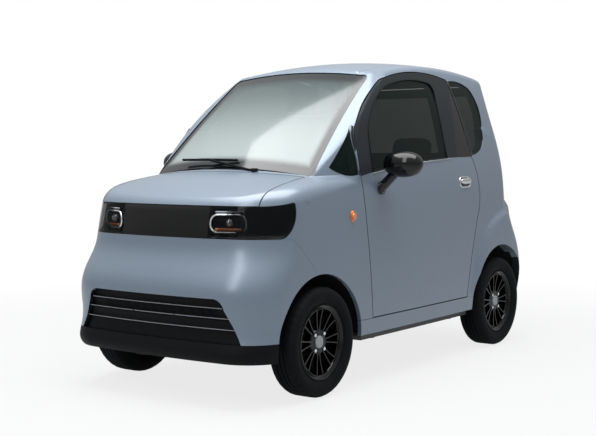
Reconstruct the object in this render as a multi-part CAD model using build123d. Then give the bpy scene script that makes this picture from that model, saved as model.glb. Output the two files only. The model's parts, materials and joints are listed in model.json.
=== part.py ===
from build123d import *
from math import atan2, cos, degrees, hypot, pi, radians, sin, sqrt
import os

# A two-seat microcar. Row frame: +X forward, +Y to the car's left, +Z up,
# origin on the ground at mid-length. All lengths are in millimetres.

os.makedirs("parts", exist_ok=True)

# ---------------------------------------------------------------- sizes
WHEELBASE = 1765.0
FRONT_AXLE_X = 822.5
REAR_AXLE_X = FRONT_AXLE_X - WHEELBASE
TYRE_RADIUS = 254.0          # 145/70 R12
TYRE_WIDTH = 145.0
TRACK_HALF = 552.0
RIM_RADIUS = 160.0
RIM_FLANGE_RADIUS = 172.0
FRONT_ARCH_RADIUS = 312.0
REAR_ARCH_RADIUS = 328.0
WALL = 50.0                  # doors, roof and body sides, trim included
SKIN = 20.0                  # bumpers, wings, bonnet, outer leaf of a door
GLASS_SET_BACK = 4.0
GLASS_THICK = 5.0
PANEL_GAP = 5.0
TRIM_GAP = 1.0
SEAT_GAP = 0.3
FLARE_RAISE = 20.0           # the rear wing stands this far proud of the side
FLARE_CENTRE = (-1062.0, 306.0)
FLARE_RADIUS = 462.0         # at the body side; its edge slopes in by FLARE_BEVEL
FLARE_BEVEL = 30.0
FLARE_SIDE_Y = 606.0         # where the bevel has FLARE_RADIUS
FLARE_INNER_Y = 470.0
FLARE_FRONT_X = -560.0
TAIL_LIMIT_X = -1303.0
SHUT_STEP = 4.0              # a door's inner flange lies this far inside its edge
LEAF_INSET = 18.0            # the inner leaf of a door or tailgate, inside its edge

# ------------------------------------------------- body surface sections
# side walls: z, nose x, nose sagitta, half width, tail x, tail sagitta,
# nose corner radius, tail corner radius
SIDE_SECTIONS = [
    (180, 1262, 38, 612, -1278, 25, 215, 140),
    (288, 1302, 43, 623, -1302, 25, 215, 140),
    (431, 1304, 48, 624, -1303, 25, 230, 140),
    (560, 1294, 56, 620.6, -1278, 25, 244, 140),
    (640, 1250, 66, 617, -1240, 25, 252, 144),
    (738, 1227, 77, 611, -1192, 25, 262, 148),
    (882, 1206, 86, 602, -1178, 25, 268, 150),
    (1050, 1190, 90, 579, -1182, 25, 268, 148),
    (1280, 1190, 90, 532, -1140, 26, 268, 140),
    (1505, 1190, 90, 467, -1118, 28, 250, 130),
    (1680, 1190, 90, 405, -1075, 30, 230, 120),
]
SIDE_BOW_RADIUS = 40000.0
SIDE_BOW_X = -60.0
# bonnet surface: x, height on the centre line, drop at CROWN_HALF
DECK_SECTIONS = [
    (1500, 740, 20),
    (1206, 896, 20),
    (1000, 984, 60),
    (780, 1036, 100),
    (560, 1062, 110),
    (300, 1066, 110),
    (-300, 1066, 110),
]
# roof surface: x, height on the centre line, drop at CROWN_HALF
ROOF_SECTIONS = [
    (1500, 1200, 126),
    (800, 1330, 126),
    (450, 1450, 126),
    (190, 1540, 126),
    (-100, 1592, 126),
    (-430, 1612, 126),
    (-760, 1600, 126),
    (-1000, 1572, 126),
    (-1150, 1545, 126),
    (-1500, 1460, 126),
]
CROWN_HALF = 800.0
# windscreen and its pillars: z, glass x, sagitta at SCREEN_HALF,
# x and y where the pillar's flank leaves the side wall, corner radius
SCREEN_SECTIONS = [
    (800, 1060, 80, 560, 606, 60),
    (1050, 780, 80, 475, 579, 60),
    (1280, 515, 80, 375, 532, 55),
    (1505, 215, 75, 60, 467, 50),
    (1720, -90, 70, -260, 390, 45),
]
SCREEN_HALF = 450.0
SCREEN_RAKE_FACTOR = 1.55    # horizontal inset for one millimetre of wall
PILLAR_FLANK = radians(22)
SHOULDER_RADIUS = 90.0
CANTRAIL_RADIUS = 50.0
LEAST_RADIUS = 6.0
FAR = 860.0                  # beyond the body's half width
TOP = 2100.0                 # above the roof
OVER_BONNET_TOP = 1700.0     # above the roof, below the last screen section

# --------------------------------------------------------- panel lines
LIP_BOTTOM_Z = 200.0
LIP_TOP_Z = 288.0
LAMP_BOTTOM_Z = 738.0
LAMP_TOP_Z = 882.0
LAMP_DIVIDE_Y = 262.0
LAMP_OUTER_X = 1007.0
SILL_BOTTOM_Z = 243.0
SILL_TOP_Z = 318.0
BELT_FRONT = (462.0, 1003.0)
BELT_REAR = (-690.0, 1088.0)


# ------------------------------------------------------- smaller pieces
HANDLE_X = -570.0
HANDLE_Z = 950.0
HANDLE_LENGTH = 150.0
HANDLE_HEIGHT = 36.0
MIRROR_BASE = (300.0, 592.0, 940.0)
MIRROR_HEAD = (300.0, 728.0, 1060.0)
MIRROR_HALF = (70.0, 112.0, 67.0)
ROOF_HALF = 366.0
GRILLE_SLAT_Z = (443.0, 398.0, 349.0)
GRILLE_SLAT = 8.0
STRUT_ROD_RADIUS = 14.0
BRAKE_Y = 518.0
BRAKE_RADIUS = 104.0
BRAKE_THICK = 12.0
SPRING_SEAT_RADIUS = 34.0
LOWER_PIN_RADIUS = 10.0
HUB_BORE_RADIUS = 18.0
SHAFT_CLEARANCE = 0.05
SPOKES = 8
STUB_LENGTH = 32.0           # of the stub axle, past the wheel's middle
SEAT_Y = 265.0
DASH_HALF = 520.0
WHEEL_CENTRE = (212.0, SEAT_Y, 868.0)
COLUMN_TILT = 25.0
SHAFT_RADIUS = 13.0
FLOOR_BOTTOM_Z = 215.0
FLOOR_TOP_Z = 240.0
INNER_WING_Y = 330.0
FIREWALL_X = 600.0
REAR_FLOOR_Z = 430.0
REAR_RAIL_Y = 350.0
KINGPIN_Y = 430.0
SHEET = 10.0                 # floor, firewall and inner wing panels
HEEL_X = -560.0
TOE_X = 472.0
NOSE_FLOOR_X = 1180.0
TAIL_PANEL_X = -1190.0
FIREWALL_TOP_Z = 930.0
TOWER_HALF = 65.0
TOWER_TOP_Z = 650.0
TUB_DOOR_Y = 540.0
BEAM_HALF = 380.0
JACK_PAD_X = (300.0, -480.0)
JACK_PAD_Y = 520.0
JACK_PAD_Z = 200.0
JACK_PAD_RADIUS = 32.0
BATTERY_REAR_X = -440.0
BATTERY_FRONT_X = 330.0
BATTERY_HALF = 300.0
BATTERY_BOTTOM_Z = 150.0
LINER_GAP = 3.0
LINER_THICK = 5.0
ARM_BOTTOM_Z = 168.0
ARM_TOP_Z = 184.0
STRUT_RADIUS = 26.0
STRUT_TOP_Z = 520.0
SUBFRAME_HALF = 305.0
MOTOR_HALF_Y = 130.0
SPRING_Y = 300.0
TRAILING_ARM_Y = 250.0

# ------------------------------------------------------------- helpers
def tangent_circle(c1, r1, c2, r2, r, pick):
    """Centre of a circle of radius r inside two circles and touching both."""
    a = r1 - r
    b = r2 - r
    dx = c2[0] - c1[0]
    dy = c2[1] - c1[1]
    d = hypot(dx, dy)
    along = (a * a - b * b + d * d) / (2 * d)
    off = sqrt(a * a - along * along)
    mx = c1[0] + dx * along / d
    my = c1[1] + dy * along / d
    first = (mx - dy * off / d, my + dx * off / d)
    second = (mx + dy * off / d, my - dx * off / d)
    return max((first, second), key=pick)


def touch(big, small, r):
    """Where the small circle touches the big one from inside."""
    dx = small[0] - big[0]
    dy = small[1] - big[1]
    d = hypot(dx, dy)
    return (small[0] + dx / d * r, small[1] + dy / d * r)


def arc_middle(centre, r, p, q):
    """Middle of the short arc from p to q."""
    mx = (p[0] + q[0]) / 2 - centre[0]
    my = (p[1] + q[1]) / 2 - centre[1]
    d = hypot(mx, my)
    return (centre[0] + mx / d * r, centre[1] + my / d * r)


def flip(p):
    return (p[0], -p[1])


def plan_arc(z, a, m, b):
    return ThreePointArc((a[0], a[1], z), (m[0], m[1], z), (b[0], b[1], z))


def plan_wire(z, nose, nose_sag, half, tail, tail_sag, nose_r, tail_r):
    """Closed plan outline of the body: eight arcs, tangent at the corners."""
    r_nose = (half * half + nose_sag * nose_sag) / (2 * nose_sag)
    r_tail = (half * half + tail_sag * tail_sag) / (2 * tail_sag)
    c_nose = (nose - r_nose, 0.0)
    c_tail = (tail + r_tail, 0.0)
    c_side = (SIDE_BOW_X, half - SIDE_BOW_RADIUS)
    f = tangent_circle(c_nose, r_nose, c_side, SIDE_BOW_RADIUS, nose_r, lambda p: p[0] + p[1])
    b = tangent_circle(c_tail, r_tail, c_side, SIDE_BOW_RADIUS, tail_r, lambda p: p[1] - p[0])
    p1 = touch(c_nose, f, nose_r)
    p2 = touch(c_side, f, nose_r)
    p3 = touch(c_side, b, tail_r)
    p4 = touch(c_tail, b, tail_r)
    m12 = arc_middle(f, nose_r, p1, p2)
    m23 = arc_middle(c_side, SIDE_BOW_RADIUS, p2, p3)
    m34 = arc_middle(b, tail_r, p3, p4)
    return Wire([
        plan_arc(z, flip(p1), (nose, 0.0), p1),
        plan_arc(z, p1, m12, p2),
        plan_arc(z, p2, m23, p3),
        plan_arc(z, p3, m34, p4),
        plan_arc(z, p4, (tail, 0.0), flip(p4)),
        plan_arc(z, flip(p4), flip(m34), flip(p3)),
        plan_arc(z, flip(p3), flip(m23), flip(p2)),
        plan_arc(z, flip(p2), flip(m12), flip(p1)),
    ])


def side_block(inset):
    wires = []
    for z, nose, nose_sag, half, tail, tail_sag, nose_r, tail_r in SIDE_SECTIONS:
        wires.append(plan_wire(z, nose - inset, nose_sag, half - inset, tail + inset,
                               tail_sag, nose_r - inset, tail_r - inset))
    return Solid.make_loft(wires, False)


def crowned_block(sections, inset, flat_z):
    """Block between a crowned surface, lofted along X, and a flat at flat_z."""
    wires = []
    for x, middle, drop in sections:
        right = (x, -CROWN_HALF, middle - drop - inset)
        left = (x, CROWN_HALF, middle - drop - inset)
        low_left = (x, CROWN_HALF, flat_z)
        low_right = (x, -CROWN_HALF, flat_z)
        wires.append(Wire([
            ThreePointArc(right, (x, 0, middle - inset), left),
            Line(left, low_left),
            Line(low_left, low_right),
            Line(low_right, right),
        ]))
    return Solid.make_loft(wires, False)


def screen_wire(z, glass_x, sag, flank_x, flank_y, r):
    """Plan outline of the screen, its rounded pillars and their flanks."""
    rg = (SCREEN_HALF * SCREEN_HALF + sag * sag) / (2 * sag)
    cg = (glass_x - rg, 0.0)
    along = (-cos(PILLAR_FLANK), sin(PILLAR_FLANK))
    inward = (-sin(PILLAR_FLANK), -cos(PILLAR_FLANK))
    px = flank_x + inward[0] * r
    py = flank_y + inward[1] * r
    vx = px - cg[0]
    vy = py - cg[1]
    half_b = vx * along[0] + vy * along[1]
    c = vx * vx + vy * vy - (rg - r) ** 2
    s = -half_b - sqrt(half_b * half_b - c)
    f = (px + along[0] * s, py + along[1] * s)
    p1 = touch(cg, f, r)
    p2 = (f[0] - inward[0] * r, f[1] - inward[1] * r)
    m12 = arc_middle(f, r, p1, p2)
    reach = (FAR - flank_y) / sin(PILLAR_FLANK)
    p3 = (flank_x + along[0] * reach, FAR)
    p4 = (-3 * FAR, FAR)
    corners = [p2, p3, p4, flip(p4), flip(p3), flip(p2)]
    lines = [Line((a[0], a[1], z), (b[0], b[1], z)) for a, b in zip(corners, corners[1:])]
    return Wire([plan_arc(z, flip(p1), (glass_x, 0.0), p1), plan_arc(z, p1, m12, p2)]
                + lines + [plan_arc(z, flip(p2), flip(m12), flip(p1))])


def screen_block(inset):
    wires = []
    for z, glass_x, sag, flank_x, flank_y, r in SCREEN_SECTIONS:
        wires.append(screen_wire(z, glass_x - SCREEN_RAKE_FACTOR * inset, sag, flank_x,
                                 flank_y - inset, max(r - inset, LEAST_RADIUS)))
    return Solid.make_loft(wires, False)


def body_solid(inset):
    """The whole body's outer form, offset inward by inset."""
    block = side_block(inset) & crowned_block(ROOF_SECTIONS, inset, 90)
    over_bonnet = crowned_block(DECK_SECTIONS, inset, OVER_BONNET_TOP) - screen_block(inset)
    block = (block - over_bonnet).solids()[0]

    def on_shoulder(edge):
        c = edge @ 0.5
        nose = c.X > 1000 and c.Z > 840
        flank = abs(c.Y) > 560 and 900 < c.Z < 1010 and 500 < c.X <= 1000
        return nose or flank

    block = block.fillet(max(SHOULDER_RADIUS - inset, LEAST_RADIUS),
                         [e for e in block.edges() if on_shoulder(e)])

    def on_cantrail(edge):
        c = edge @ 0.5
        side = abs(c.Y) > 330 and c.X < 0 and edge.length > 150
        return c.Z > 1440 and (side or c.X < -950)

    if inset >= CANTRAIL_RADIUS:
        return block
    return block.fillet(CANTRAIL_RADIUS - inset, [e for e in block.edges() if on_cantrail(e)])


def solid_of(shape):
    """One solid, or a compound where several remain."""
    solids = shape.solids()
    return solids[0] if len(solids) == 1 else Compound(solids)


def circle_through(p, m, q):
    """Centre of the circle through three points."""
    ax, ay = m[0] - p[0], m[1] - p[1]
    bx, by = q[0] - p[0], q[1] - p[1]
    d = 2 * (ax * by - ay * bx)
    aa = ax * ax + ay * ay
    bb = bx * bx + by * by
    return (p[0] + (by * aa - ay * bb) / d, p[1] + (ax * bb - bx * aa) / d)


def unit(v):
    d = hypot(v[0], v[1])
    return (v[0] / d, v[1] / d)


def tangents(p, m, q):
    """Travel directions at the start and the end of a segment."""
    if m is None:
        t = unit((q[0] - p[0], q[1] - p[1]))
        return t, t
    c = circle_through(p, m, q)
    turn = (m[0] - p[0]) * (q[1] - m[1]) - (m[1] - p[1]) * (q[0] - m[0])
    sense = 1 if turn > 0 else -1
    start = unit((-(p[1] - c[1]) * sense, (p[0] - c[0]) * sense))
    end = unit((-(q[1] - c[1]) * sense, (q[0] - c[0]) * sense))
    return start, end


def grown(outline, grow):
    """An outline, listed as (corner, arc middle or None), moved out by grow."""
    n = len(outline)
    area = sum(outline[i][0][0] * outline[(i + 1) % n][0][1]
               - outline[(i + 1) % n][0][0] * outline[i][0][1] for i in range(n))
    out = 1 if area > 0 else -1
    ends = [tangents(outline[i][0], outline[i][1], outline[(i + 1) % n][0]) for i in range(n)]
    result = []
    for i in range(n):
        corner, middle = outline[i]
        before = ends[i - 1][1]
        after = ends[i][0]
        n1 = (before[1] * out, -before[0] * out)
        n2 = (after[1] * out, -after[0] * out)
        bisector = unit((n1[0] + n2[0], n1[1] + n2[1]))
        reach = grow / (bisector[0] * n1[0] + bisector[1] * n1[1])
        corner = (corner[0] + bisector[0] * reach, corner[1] + bisector[1] * reach)
        if middle is not None:
            following = outline[(i + 1) % n][0]
            c = circle_through(outline[i][0], middle, following)
            radial = unit((middle[0] - c[0], middle[1] - c[1]))
            chord = (following[0] - outline[i][0][0], following[1] - outline[i][0][1])
            side = (chord[1] * out, -chord[0] * out)
            sign = 1 if radial[0] * side[0] + radial[1] * side[1] > 0 else -1
            middle = (middle[0] + radial[0] * grow * sign, middle[1] + radial[1] * grow * sign)
        result.append((corner, middle))
    return result


def outline_face(outline, place):
    """Face over an outline whose points go through place."""
    n = len(outline)
    edges = []
    for i in range(n):
        p, m = outline[i]
        q = outline[(i + 1) % n][0]
        edges.append(Line(place(p), place(q)) if m is None
                     else ThreePointArc(place(p), place(m), place(q)))
    return Face(Wire(edges))


def side_prism(outline, y0, y1, grow=0.0):
    """Prism along Y over an outline of (x, z) points, moved out by grow."""
    face = outline_face(grown(outline, grow) if grow else outline, lambda p: (p[0], y0, p[1]))
    return Solid.extrude(face, Vector(0, y1 - y0, 0))


def front_prism(outline, x0, x1, grow=0.0):
    """Prism along X over an outline of (y, z) points."""
    face = outline_face(grown(outline, grow) if grow else outline, lambda p: (x0, p[0], p[1]))
    return Solid.extrude(face, Vector(x1 - x0, 0, 0))


def plan_prism(outline, z0, z1, grow=0.0):
    """Prism along Z over an outline of (x, y) points."""
    face = outline_face(grown(outline, grow) if grow else outline, lambda p: (p[0], p[1], z0))
    return Solid.extrude(face, Vector(0, 0, z1 - z0))


def box(x0, x1, y0, y1, z0, z1):
    return Pos((x0 + x1) / 2, (y0 + y1) / 2, (z0 + z1) / 2) * Box(x1 - x0, y1 - y0, z1 - z0)


def across(x, y, z, r, length):
    """Cylinder along Y, centred at (x, y, z)."""
    return Pos(x, y, z) * Rot(90, 0, 0) * Cylinder(r, length)


def upright(x, y, z0, z1, r):
    return Pos(x, y, (z0 + z1) / 2) * Cylinder(r, z1 - z0)


def mirrored(shape):
    return shape.mirror(Plane.XZ)


NODES = {}


def keep(name, shape):
    NODES[name] = shape


# ------------------------------------------------------------ body skins
OUTER = body_solid(0)
SET_BACK = body_solid(GLASS_SET_BACK)
GLASS_INNER = body_solid(GLASS_SET_BACK + GLASS_THICK)
SKIN_INNER = body_solid(SKIN)
WALL_INNER = body_solid(WALL)
SKIN_SHELL = OUTER - SKIN_INNER
WALL_SHELL = OUTER - WALL_INNER
DOOR_LEAF = SKIN_INNER - WALL_INNER
GLASS_SHELL = SET_BACK - GLASS_INNER
LENS_SHELL = OUTER - SET_BACK
LAMP_SHELL = SET_BACK - WALL_INNER
LAMP_DEPTH = SET_BACK - SKIN_INNER

REACH = 1600.0
LEFT_HALF = box(-REACH, REACH, 0, FAR, 0, TOP)
FRONT_ARCH = across(FRONT_AXLE_X, 0, TYRE_RADIUS, FRONT_ARCH_RADIUS, 3 * FAR)
REAR_ARCH = across(REAR_AXLE_X, 0, TYRE_RADIUS, REAR_ARCH_RADIUS, 3 * FAR)
ARCHES = FRONT_ARCH + REAR_ARCH

# outlines: (corner, middle of the arc to the next corner or None)
BELT_AT_WINDOW = (352.0, 1021.0)
BELT_AT_PILLAR = (-408.0, 1084.0)
DOOR_OUTLINE = [
    ((414, SILL_TOP_Z + 2), None),
    ((-546, SILL_TOP_Z + 2), (-613, 555)),
    ((-722, 800), (-738, 940)),
    (BELT_REAR, None),
    ((-585, 1513), (-200, 1538)),
    ((110, 1486), (288, 1378)),
    ((435, 1240), (458, 1195)),
    ((464, 1140), None),
    (BELT_FRONT, (434, 640)),
]
WINDOW_OUTLINE = [
    (BELT_AT_WINDOW, (-20, 1060)),
    (BELT_AT_PILLAR, None),
    ((-404, 1436), (-390, 1471)),
    ((-355, 1487), (-180, 1495)),
    ((0, 1472), (210, 1383)),
    ((335, 1225), (348, 1120)),
]
# everything in the side view below the belt line
BELT_OUTLINE = [
    ((700, 985), None),
    (BELT_FRONT, None),
    (BELT_AT_WINDOW, (-20, 1060)),
    (BELT_AT_PILLAR, None),
    (BELT_REAR, None),
    ((-900, 1080), None),
    ((-900, 0), None),
    ((700, 0), None),
]
FRONT_QUARTER_OUTLINE = [
    ((476, 1012), None),
    ((478, 1140), (472, 1199)),
    ((450, 1247), None),
    ((634, 1046), (556, 1010)),
]
REAR_QUARTER_OUTLINE = [
    ((-704, 1098), None),
    ((-603, 1506), (-735, 1505)),
    ((-832, 1476), (-893, 1380)),
    ((-880, 1245), (-850, 1150)),
    ((-790, 1114), (-750, 1102)),
]
# (y, z) outlines seen from the front or the back
SCREEN_OUTLINE = [
    ((486, 1026), None),
    ((430, 1462), (422, 1496)),
    ((384, 1509), (0, 1532)),
    ((-384, 1509), (-422, 1496)),
    ((-430, 1462), None),
    ((-486, 1026), (-482, 1013)),
    ((-466, 1009), (0, 1047)),
    ((466, 1009), (482, 1013)),
]
GRILLE_OUTLINE = [
    ((488, LIP_TOP_Z), None),
    ((412, 436), (393, 471)),
    ((350, 484), None),
    ((-350, 484), (-393, 471)),
    ((-412, 436), None),
    ((-488, LIP_TOP_Z), None),
]
TAILGATE_OUTLINE = [
    ((440, 604), None),
    ((474, 1000), (456, 1260)),
    ((392, 1470), (380, 1494)),
    ((350, 1500), (0, 1503)),
    ((-350, 1500), (-380, 1494)),
    ((-392, 1470), (-456, 1260)),
    ((-474, 1000), None),
    ((-440, 604), None),
]
REAR_WINDOW_OUTLINE = [
    ((390, 1110), (404, 1114)),
    ((408, 1130), (398, 1280)),
    ((352, 1420), (342, 1438)),
    ((322, 1444), None),
    ((-322, 1444), (-342, 1438)),
    ((-352, 1420), (-398, 1280)),
    ((-408, 1130), (-404, 1114)),
    ((-390, 1110), None),
]
TAIL_LAMP_FRONT_X = -1118
TAIL_LAMP_OUTLINE = [
    ((488, 700), None),
    ((640, 700), None),
    ((640, 960), None),
    ((494, 960), None),
]
# (x, z) outlines of the front corner
LAMP_OUTLINE = [
    ((1085, LAMP_BOTTOM_Z), None),
    ((1400, LAMP_BOTTOM_Z), None),
    ((1400, LAMP_TOP_Z), None),
    ((1150, LAMP_TOP_Z), (1070, 885)),
    ((998, 896), (987, 894)),
    ((984, 882), (1000, 800)),
    ((1048, 746), (1066, 740)),
]
BUMPER_CUT_LOW = (838.0, 540.0)
BUMPER_OUTLINE = [
    (BUMPER_CUT_LOW, None),
    ((800, LIP_TOP_Z), None),
    ((1400, LIP_TOP_Z), None),
    ((1400, LAMP_BOTTOM_Z), None),
    ((1020, LAMP_BOTTOM_Z), (935, 655)),
]
FENDER_OUTLINE = [
    ((380, SILL_TOP_Z), None),
    ((700, SILL_TOP_Z), None),
    (BUMPER_CUT_LOW, (935, 655)),
    ((1020, LAMP_BOTTOM_Z), None),
    ((1400, LAMP_BOTTOM_Z), None),
    ((1400, 1300), None),
    ((380, 1300), None),
]
# (x, y) outlines seen from above
BONNET_HALF_REAR = 470.0
BONNET_HALF_FRONT = 494.0
BONNET_OUTLINE = [
    ((765, -BONNET_HALF_REAR), (828, 0)),
    ((765, BONNET_HALF_REAR), None),
    ((1420, BONNET_HALF_FRONT), None),
    ((1420, -BONNET_HALF_FRONT), None),
]
COWL_OUTLINE = [
    ((600, -BONNET_HALF_REAR), (630, 0)),
    ((600, BONNET_HALF_REAR), None),
    ((765 - PANEL_GAP, BONNET_HALF_REAR), (828 - PANEL_GAP, 0)),
    ((765 - PANEL_GAP, -BONNET_HALF_REAR), None),
]

BELOW_BELT = side_prism(BELT_OUTLINE, 300, FAR)
DOOR_PRISM = side_prism(DOOR_OUTLINE, 300, FAR, -PANEL_GAP / 2)
DOOR_OPENING = side_prism(DOOR_OUTLINE, 300, FAR, PANEL_GAP / 2)
DOOR_FLANGE = side_prism(DOOR_OUTLINE, 300, FAR, -PANEL_GAP / 2 - SHUT_STEP)
DOOR_LEAF_PRISM = side_prism(DOOR_OUTLINE, 300, FAR, -LEAF_INSET)
SCREEN_CUT = front_prism(SCREEN_OUTLINE, -300, 1000, TRIM_GAP)
TAILGATE_CUT = front_prism(TAILGATE_OUTLINE, -REACH, -900, PANEL_GAP / 2)
ABOVE_DECK = crowned_block(DECK_SECTIONS, -TRIM_GAP, TOP)
ABOVE_DECK_RAISED = crowned_block(DECK_SECTIONS, -2 * TRIM_GAP, TOP)
LAMP_REGION = side_prism(LAMP_OUTLINE, 0, FAR)
BONNET_PRISM = plan_prism(BONNET_OUTLINE, LAMP_TOP_Z + PANEL_GAP / 2, TOP, -PANEL_GAP / 2)
BONNET_CUT = plan_prism(BONNET_OUTLINE, LAMP_TOP_Z - PANEL_GAP, TOP, PANEL_GAP / 2)


def bevelled_disc(y_in, y_out):
    """Disc about the rear wing's centre whose rim slopes inward with y."""
    plane = Plane(origin=(FLARE_CENTRE[0], y_in, FLARE_CENTRE[1]), x_dir=(1, 0, 0), z_dir=(0, 1, 0))
    per_mm = FLARE_BEVEL / FLARE_RAISE
    wide = FLARE_RADIUS + per_mm * (FLARE_SIDE_Y - y_in)
    narrow = FLARE_RADIUS - per_mm * (y_out - FLARE_SIDE_Y)
    return Solid.make_cone(wide, narrow, y_out - y_in, plane)


# the raised rear wing: a shell over the body, inside a bevelled disc
FLARE = bevelled_disc(FLARE_INNER_Y, FLARE_INNER_Y + 185)
FLARE = FLARE & box(TAIL_LIMIT_X, FLARE_FRONT_X, FLARE_INNER_Y, FAR, LIP_BOTTOM_Z, TOP)
FLARE = (side_block(-FLARE_RAISE) & FLARE) - SKIN_INNER


def both(shape):
    """A left-hand piece and its mirror image in one node."""
    return Compound(shape.solids() + mirrored(shape).solids())


def pair(name, shape):
    keep(name + "_left", shape)
    keep(name + "_right", mirrored(shape))


# -------------------------------------------------------------- doors
def make_doors():
    full = (LENS_SHELL & DOOR_PRISM) + (LAMP_DEPTH & DOOR_FLANGE) + (DOOR_LEAF & DOOR_LEAF_PRISM)
    pair("door", full & BELOW_BELT)
    pair("door_frame", full - BELOW_BELT - side_prism(WINDOW_OUTLINE, 300, FAR))
    pair("door_glass", GLASS_SHELL & side_prism(WINDOW_OUTLINE, 300, FAR, -SEAT_GAP))


def make_handles():
    grip_y = 628.0
    grip = Pos(HANDLE_X, grip_y, HANDLE_Z) * Box(HANDLE_LENGTH, 14, HANDLE_HEIGHT)
    grip = grip.fillet(5, grip.edges())
    for dx in (-0.36, 0.36):
        post = Pos(HANDLE_X + dx * HANDLE_LENGTH, grip_y - 30, HANDLE_Z)
        grip = grip + post * Box(22, 60, HANDLE_HEIGHT - 8)
    pair("handle", grip - OUTER)


def tube_between(p, q, r):
    axis = Vector(*q) - Vector(*p)
    plane = Plane(origin=p, z_dir=axis)
    return Solid.extrude(plane * Circle(r).face(), axis)


def make_mirrors():
    depth, half_y, half_z = MIRROR_HALF
    back = Plane(origin=(MIRROR_HEAD[0] - depth / 2, MIRROR_HEAD[1], MIRROR_HEAD[2]),
                 x_dir=(0, 1, 0), z_dir=(1, 0, 0))
    head = loft([back * RectangleRounded(2 * half_y, 2 * half_z, half_z - 2),
                 back.offset(depth) * RectangleRounded(1.9 * half_y, 1.85 * half_z, 0.9 * half_z),
                 back.offset(1.5 * depth) * RectangleRounded(1.3 * half_y, 1.15 * half_z, 0.5 * half_z)])
    stalk = tube_between(MIRROR_BASE, (MIRROR_HEAD[0], MIRROR_HEAD[1] - 50, MIRROR_HEAD[2] - 40), 23)
    foot = tube_between((300, 570, 936), (300, 604, 942), 30)
    pair("mirror", head + stalk + foot - OUTER)


# ------------------------------------------------- fixed outer panels
def make_body_sides():
    forward = ABOVE_DECK_RAISED & box(-290, REACH, 0, FAR, 900, TOP)
    region = forward + box(-REACH, -290, 0, FAR, SILL_TOP_Z, TOP)
    side = (WALL_SHELL & region) + (FLARE & region)
    side = side - DOOR_OPENING - SCREEN_CUT - TAILGATE_CUT - REAR_ARCH
    side = side - box(-REACH, 500, -1, ROOF_HALF + TRIM_GAP / 2, 1400, TOP)
    side = side - box(500, 900, -1, BONNET_HALF_REAR, 950, 1100)
    side = side - side_prism(FRONT_QUARTER_OUTLINE, 300, FAR, SEAT_GAP)
    side = side - side_prism(REAR_QUARTER_OUTLINE, 300, FAR, SEAT_GAP)
    side = side - rear_bumper_region(SEAT_GAP)
    side = side - front_prism(TAIL_LAMP_OUTLINE, -REACH, TAIL_LAMP_FRONT_X + SEAT_GAP, SEAT_GAP)
    pair("body_side", side)


def make_roof():
    panel = WALL_SHELL & box(-REACH, 500, -ROOF_HALF + TRIM_GAP / 2, ROOF_HALF - TRIM_GAP / 2, 1400, TOP)
    keep("roof", panel - SCREEN_CUT - TAILGATE_CUT)


def make_glass():
    keep("windscreen", GLASS_SHELL & front_prism(SCREEN_OUTLINE, -300, 1000, TRIM_GAP - SEAT_GAP))
    front = GLASS_SHELL & side_prism(FRONT_QUARTER_OUTLINE, 300, FAR)
    rear = GLASS_SHELL & side_prism(REAR_QUARTER_OUTLINE, 300, FAR)
    keep("quarter_glass", Compound(both(front).solids() + both(rear).solids()))


def make_fenders():
    wing = SKIN_SHELL & side_prism(FENDER_OUTLINE, 200, FAR, -TRIM_GAP)
    wing = wing - ABOVE_DECK - FRONT_ARCH - DOOR_OPENING - BONNET_CUT
    wing = wing - side_prism(LAMP_OUTLINE, 0, FAR, TRIM_GAP)
    wing = wing - plan_prism(COWL_OUTLINE, 900, TOP, TRIM_GAP)
    wing = wing - box(300, 900, 0, BONNET_HALF_REAR + TRIM_GAP, 850, TOP)
    wing = wing - side_prism(FRONT_QUARTER_OUTLINE, 300, FAR, TRIM_GAP) - SCREEN_CUT
    pair("fender", wing)


def make_bonnet():
    keep("bonnet", SKIN_SHELL & BONNET_PRISM)
    cowl = SKIN_SHELL & plan_prism(COWL_OUTLINE, 900, 1060)
    keep("cowl", cowl - SCREEN_CUT - ABOVE_DECK)


def make_front():
    bumper = side_prism(BUMPER_OUTLINE, -FAR, FAR)
    grille_cut = front_prism(GRILLE_OUTLINE, 1000, 1500)
    keep("front_bumper", (SKIN_SHELL & bumper) - FRONT_ARCH - grille_cut)
    lip = SKIN_SHELL & box(800, REACH, -FAR, FAR, LIP_BOTTOM_Z, LIP_TOP_Z - SEAT_GAP)
    keep("bumper_lip", lip - FRONT_ARCH)
    inside = front_prism(GRILLE_OUTLINE, 1000, 1500, -SEAT_GAP)
    grille = (SKIN_INNER - WALL_INNER) & inside
    slats = (GLASS_INNER - SKIN_INNER) & inside
    for z in GRILLE_SLAT_Z:
        grille = grille + (slats & box(1000, 1500, -FAR, FAR, z - GRILLE_SLAT / 2, z + GRILLE_SLAT / 2))
    keep("grille", grille)


def make_lamps():
    low = LAMP_BOTTOM_Z + SEAT_GAP
    high = LAMP_TOP_Z - TRIM_GAP
    panel = box(900, REACH, TRIM_GAP - LAMP_DIVIDE_Y, LAMP_DIVIDE_Y - TRIM_GAP, low, high)
    keep("lamp_panel", SKIN_SHELL & panel)
    outer = box(900, REACH, LAMP_DIVIDE_Y, FAR, 0, TOP)
    region = side_prism(LAMP_OUTLINE, 0, FAR, -SEAT_GAP) & outer
    pocket = side_prism(LAMP_OUTLINE, 0, FAR, -8) & box(900, REACH, LAMP_DIVIDE_Y + 8, FAR, 0, TOP)
    keep("headlamps", both((LAMP_SHELL & region) - (LAMP_DEPTH & pocket)))
    keep("headlamp_lenses", both(LENS_SHELL & region))
    tail = front_prism(TAIL_LAMP_OUTLINE, -REACH, TAIL_LAMP_FRONT_X)
    keep("tail_lamps", both(SKIN_SHELL & tail))
    body = Pos(560, 596, 816) * Rot(90, 0, 0) * Cylinder(17, 40)
    body = body.fillet(6, body.edges().filter_by(GeomType.CIRCLE))
    keep("side_indicators", both(body - OUTER))


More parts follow.
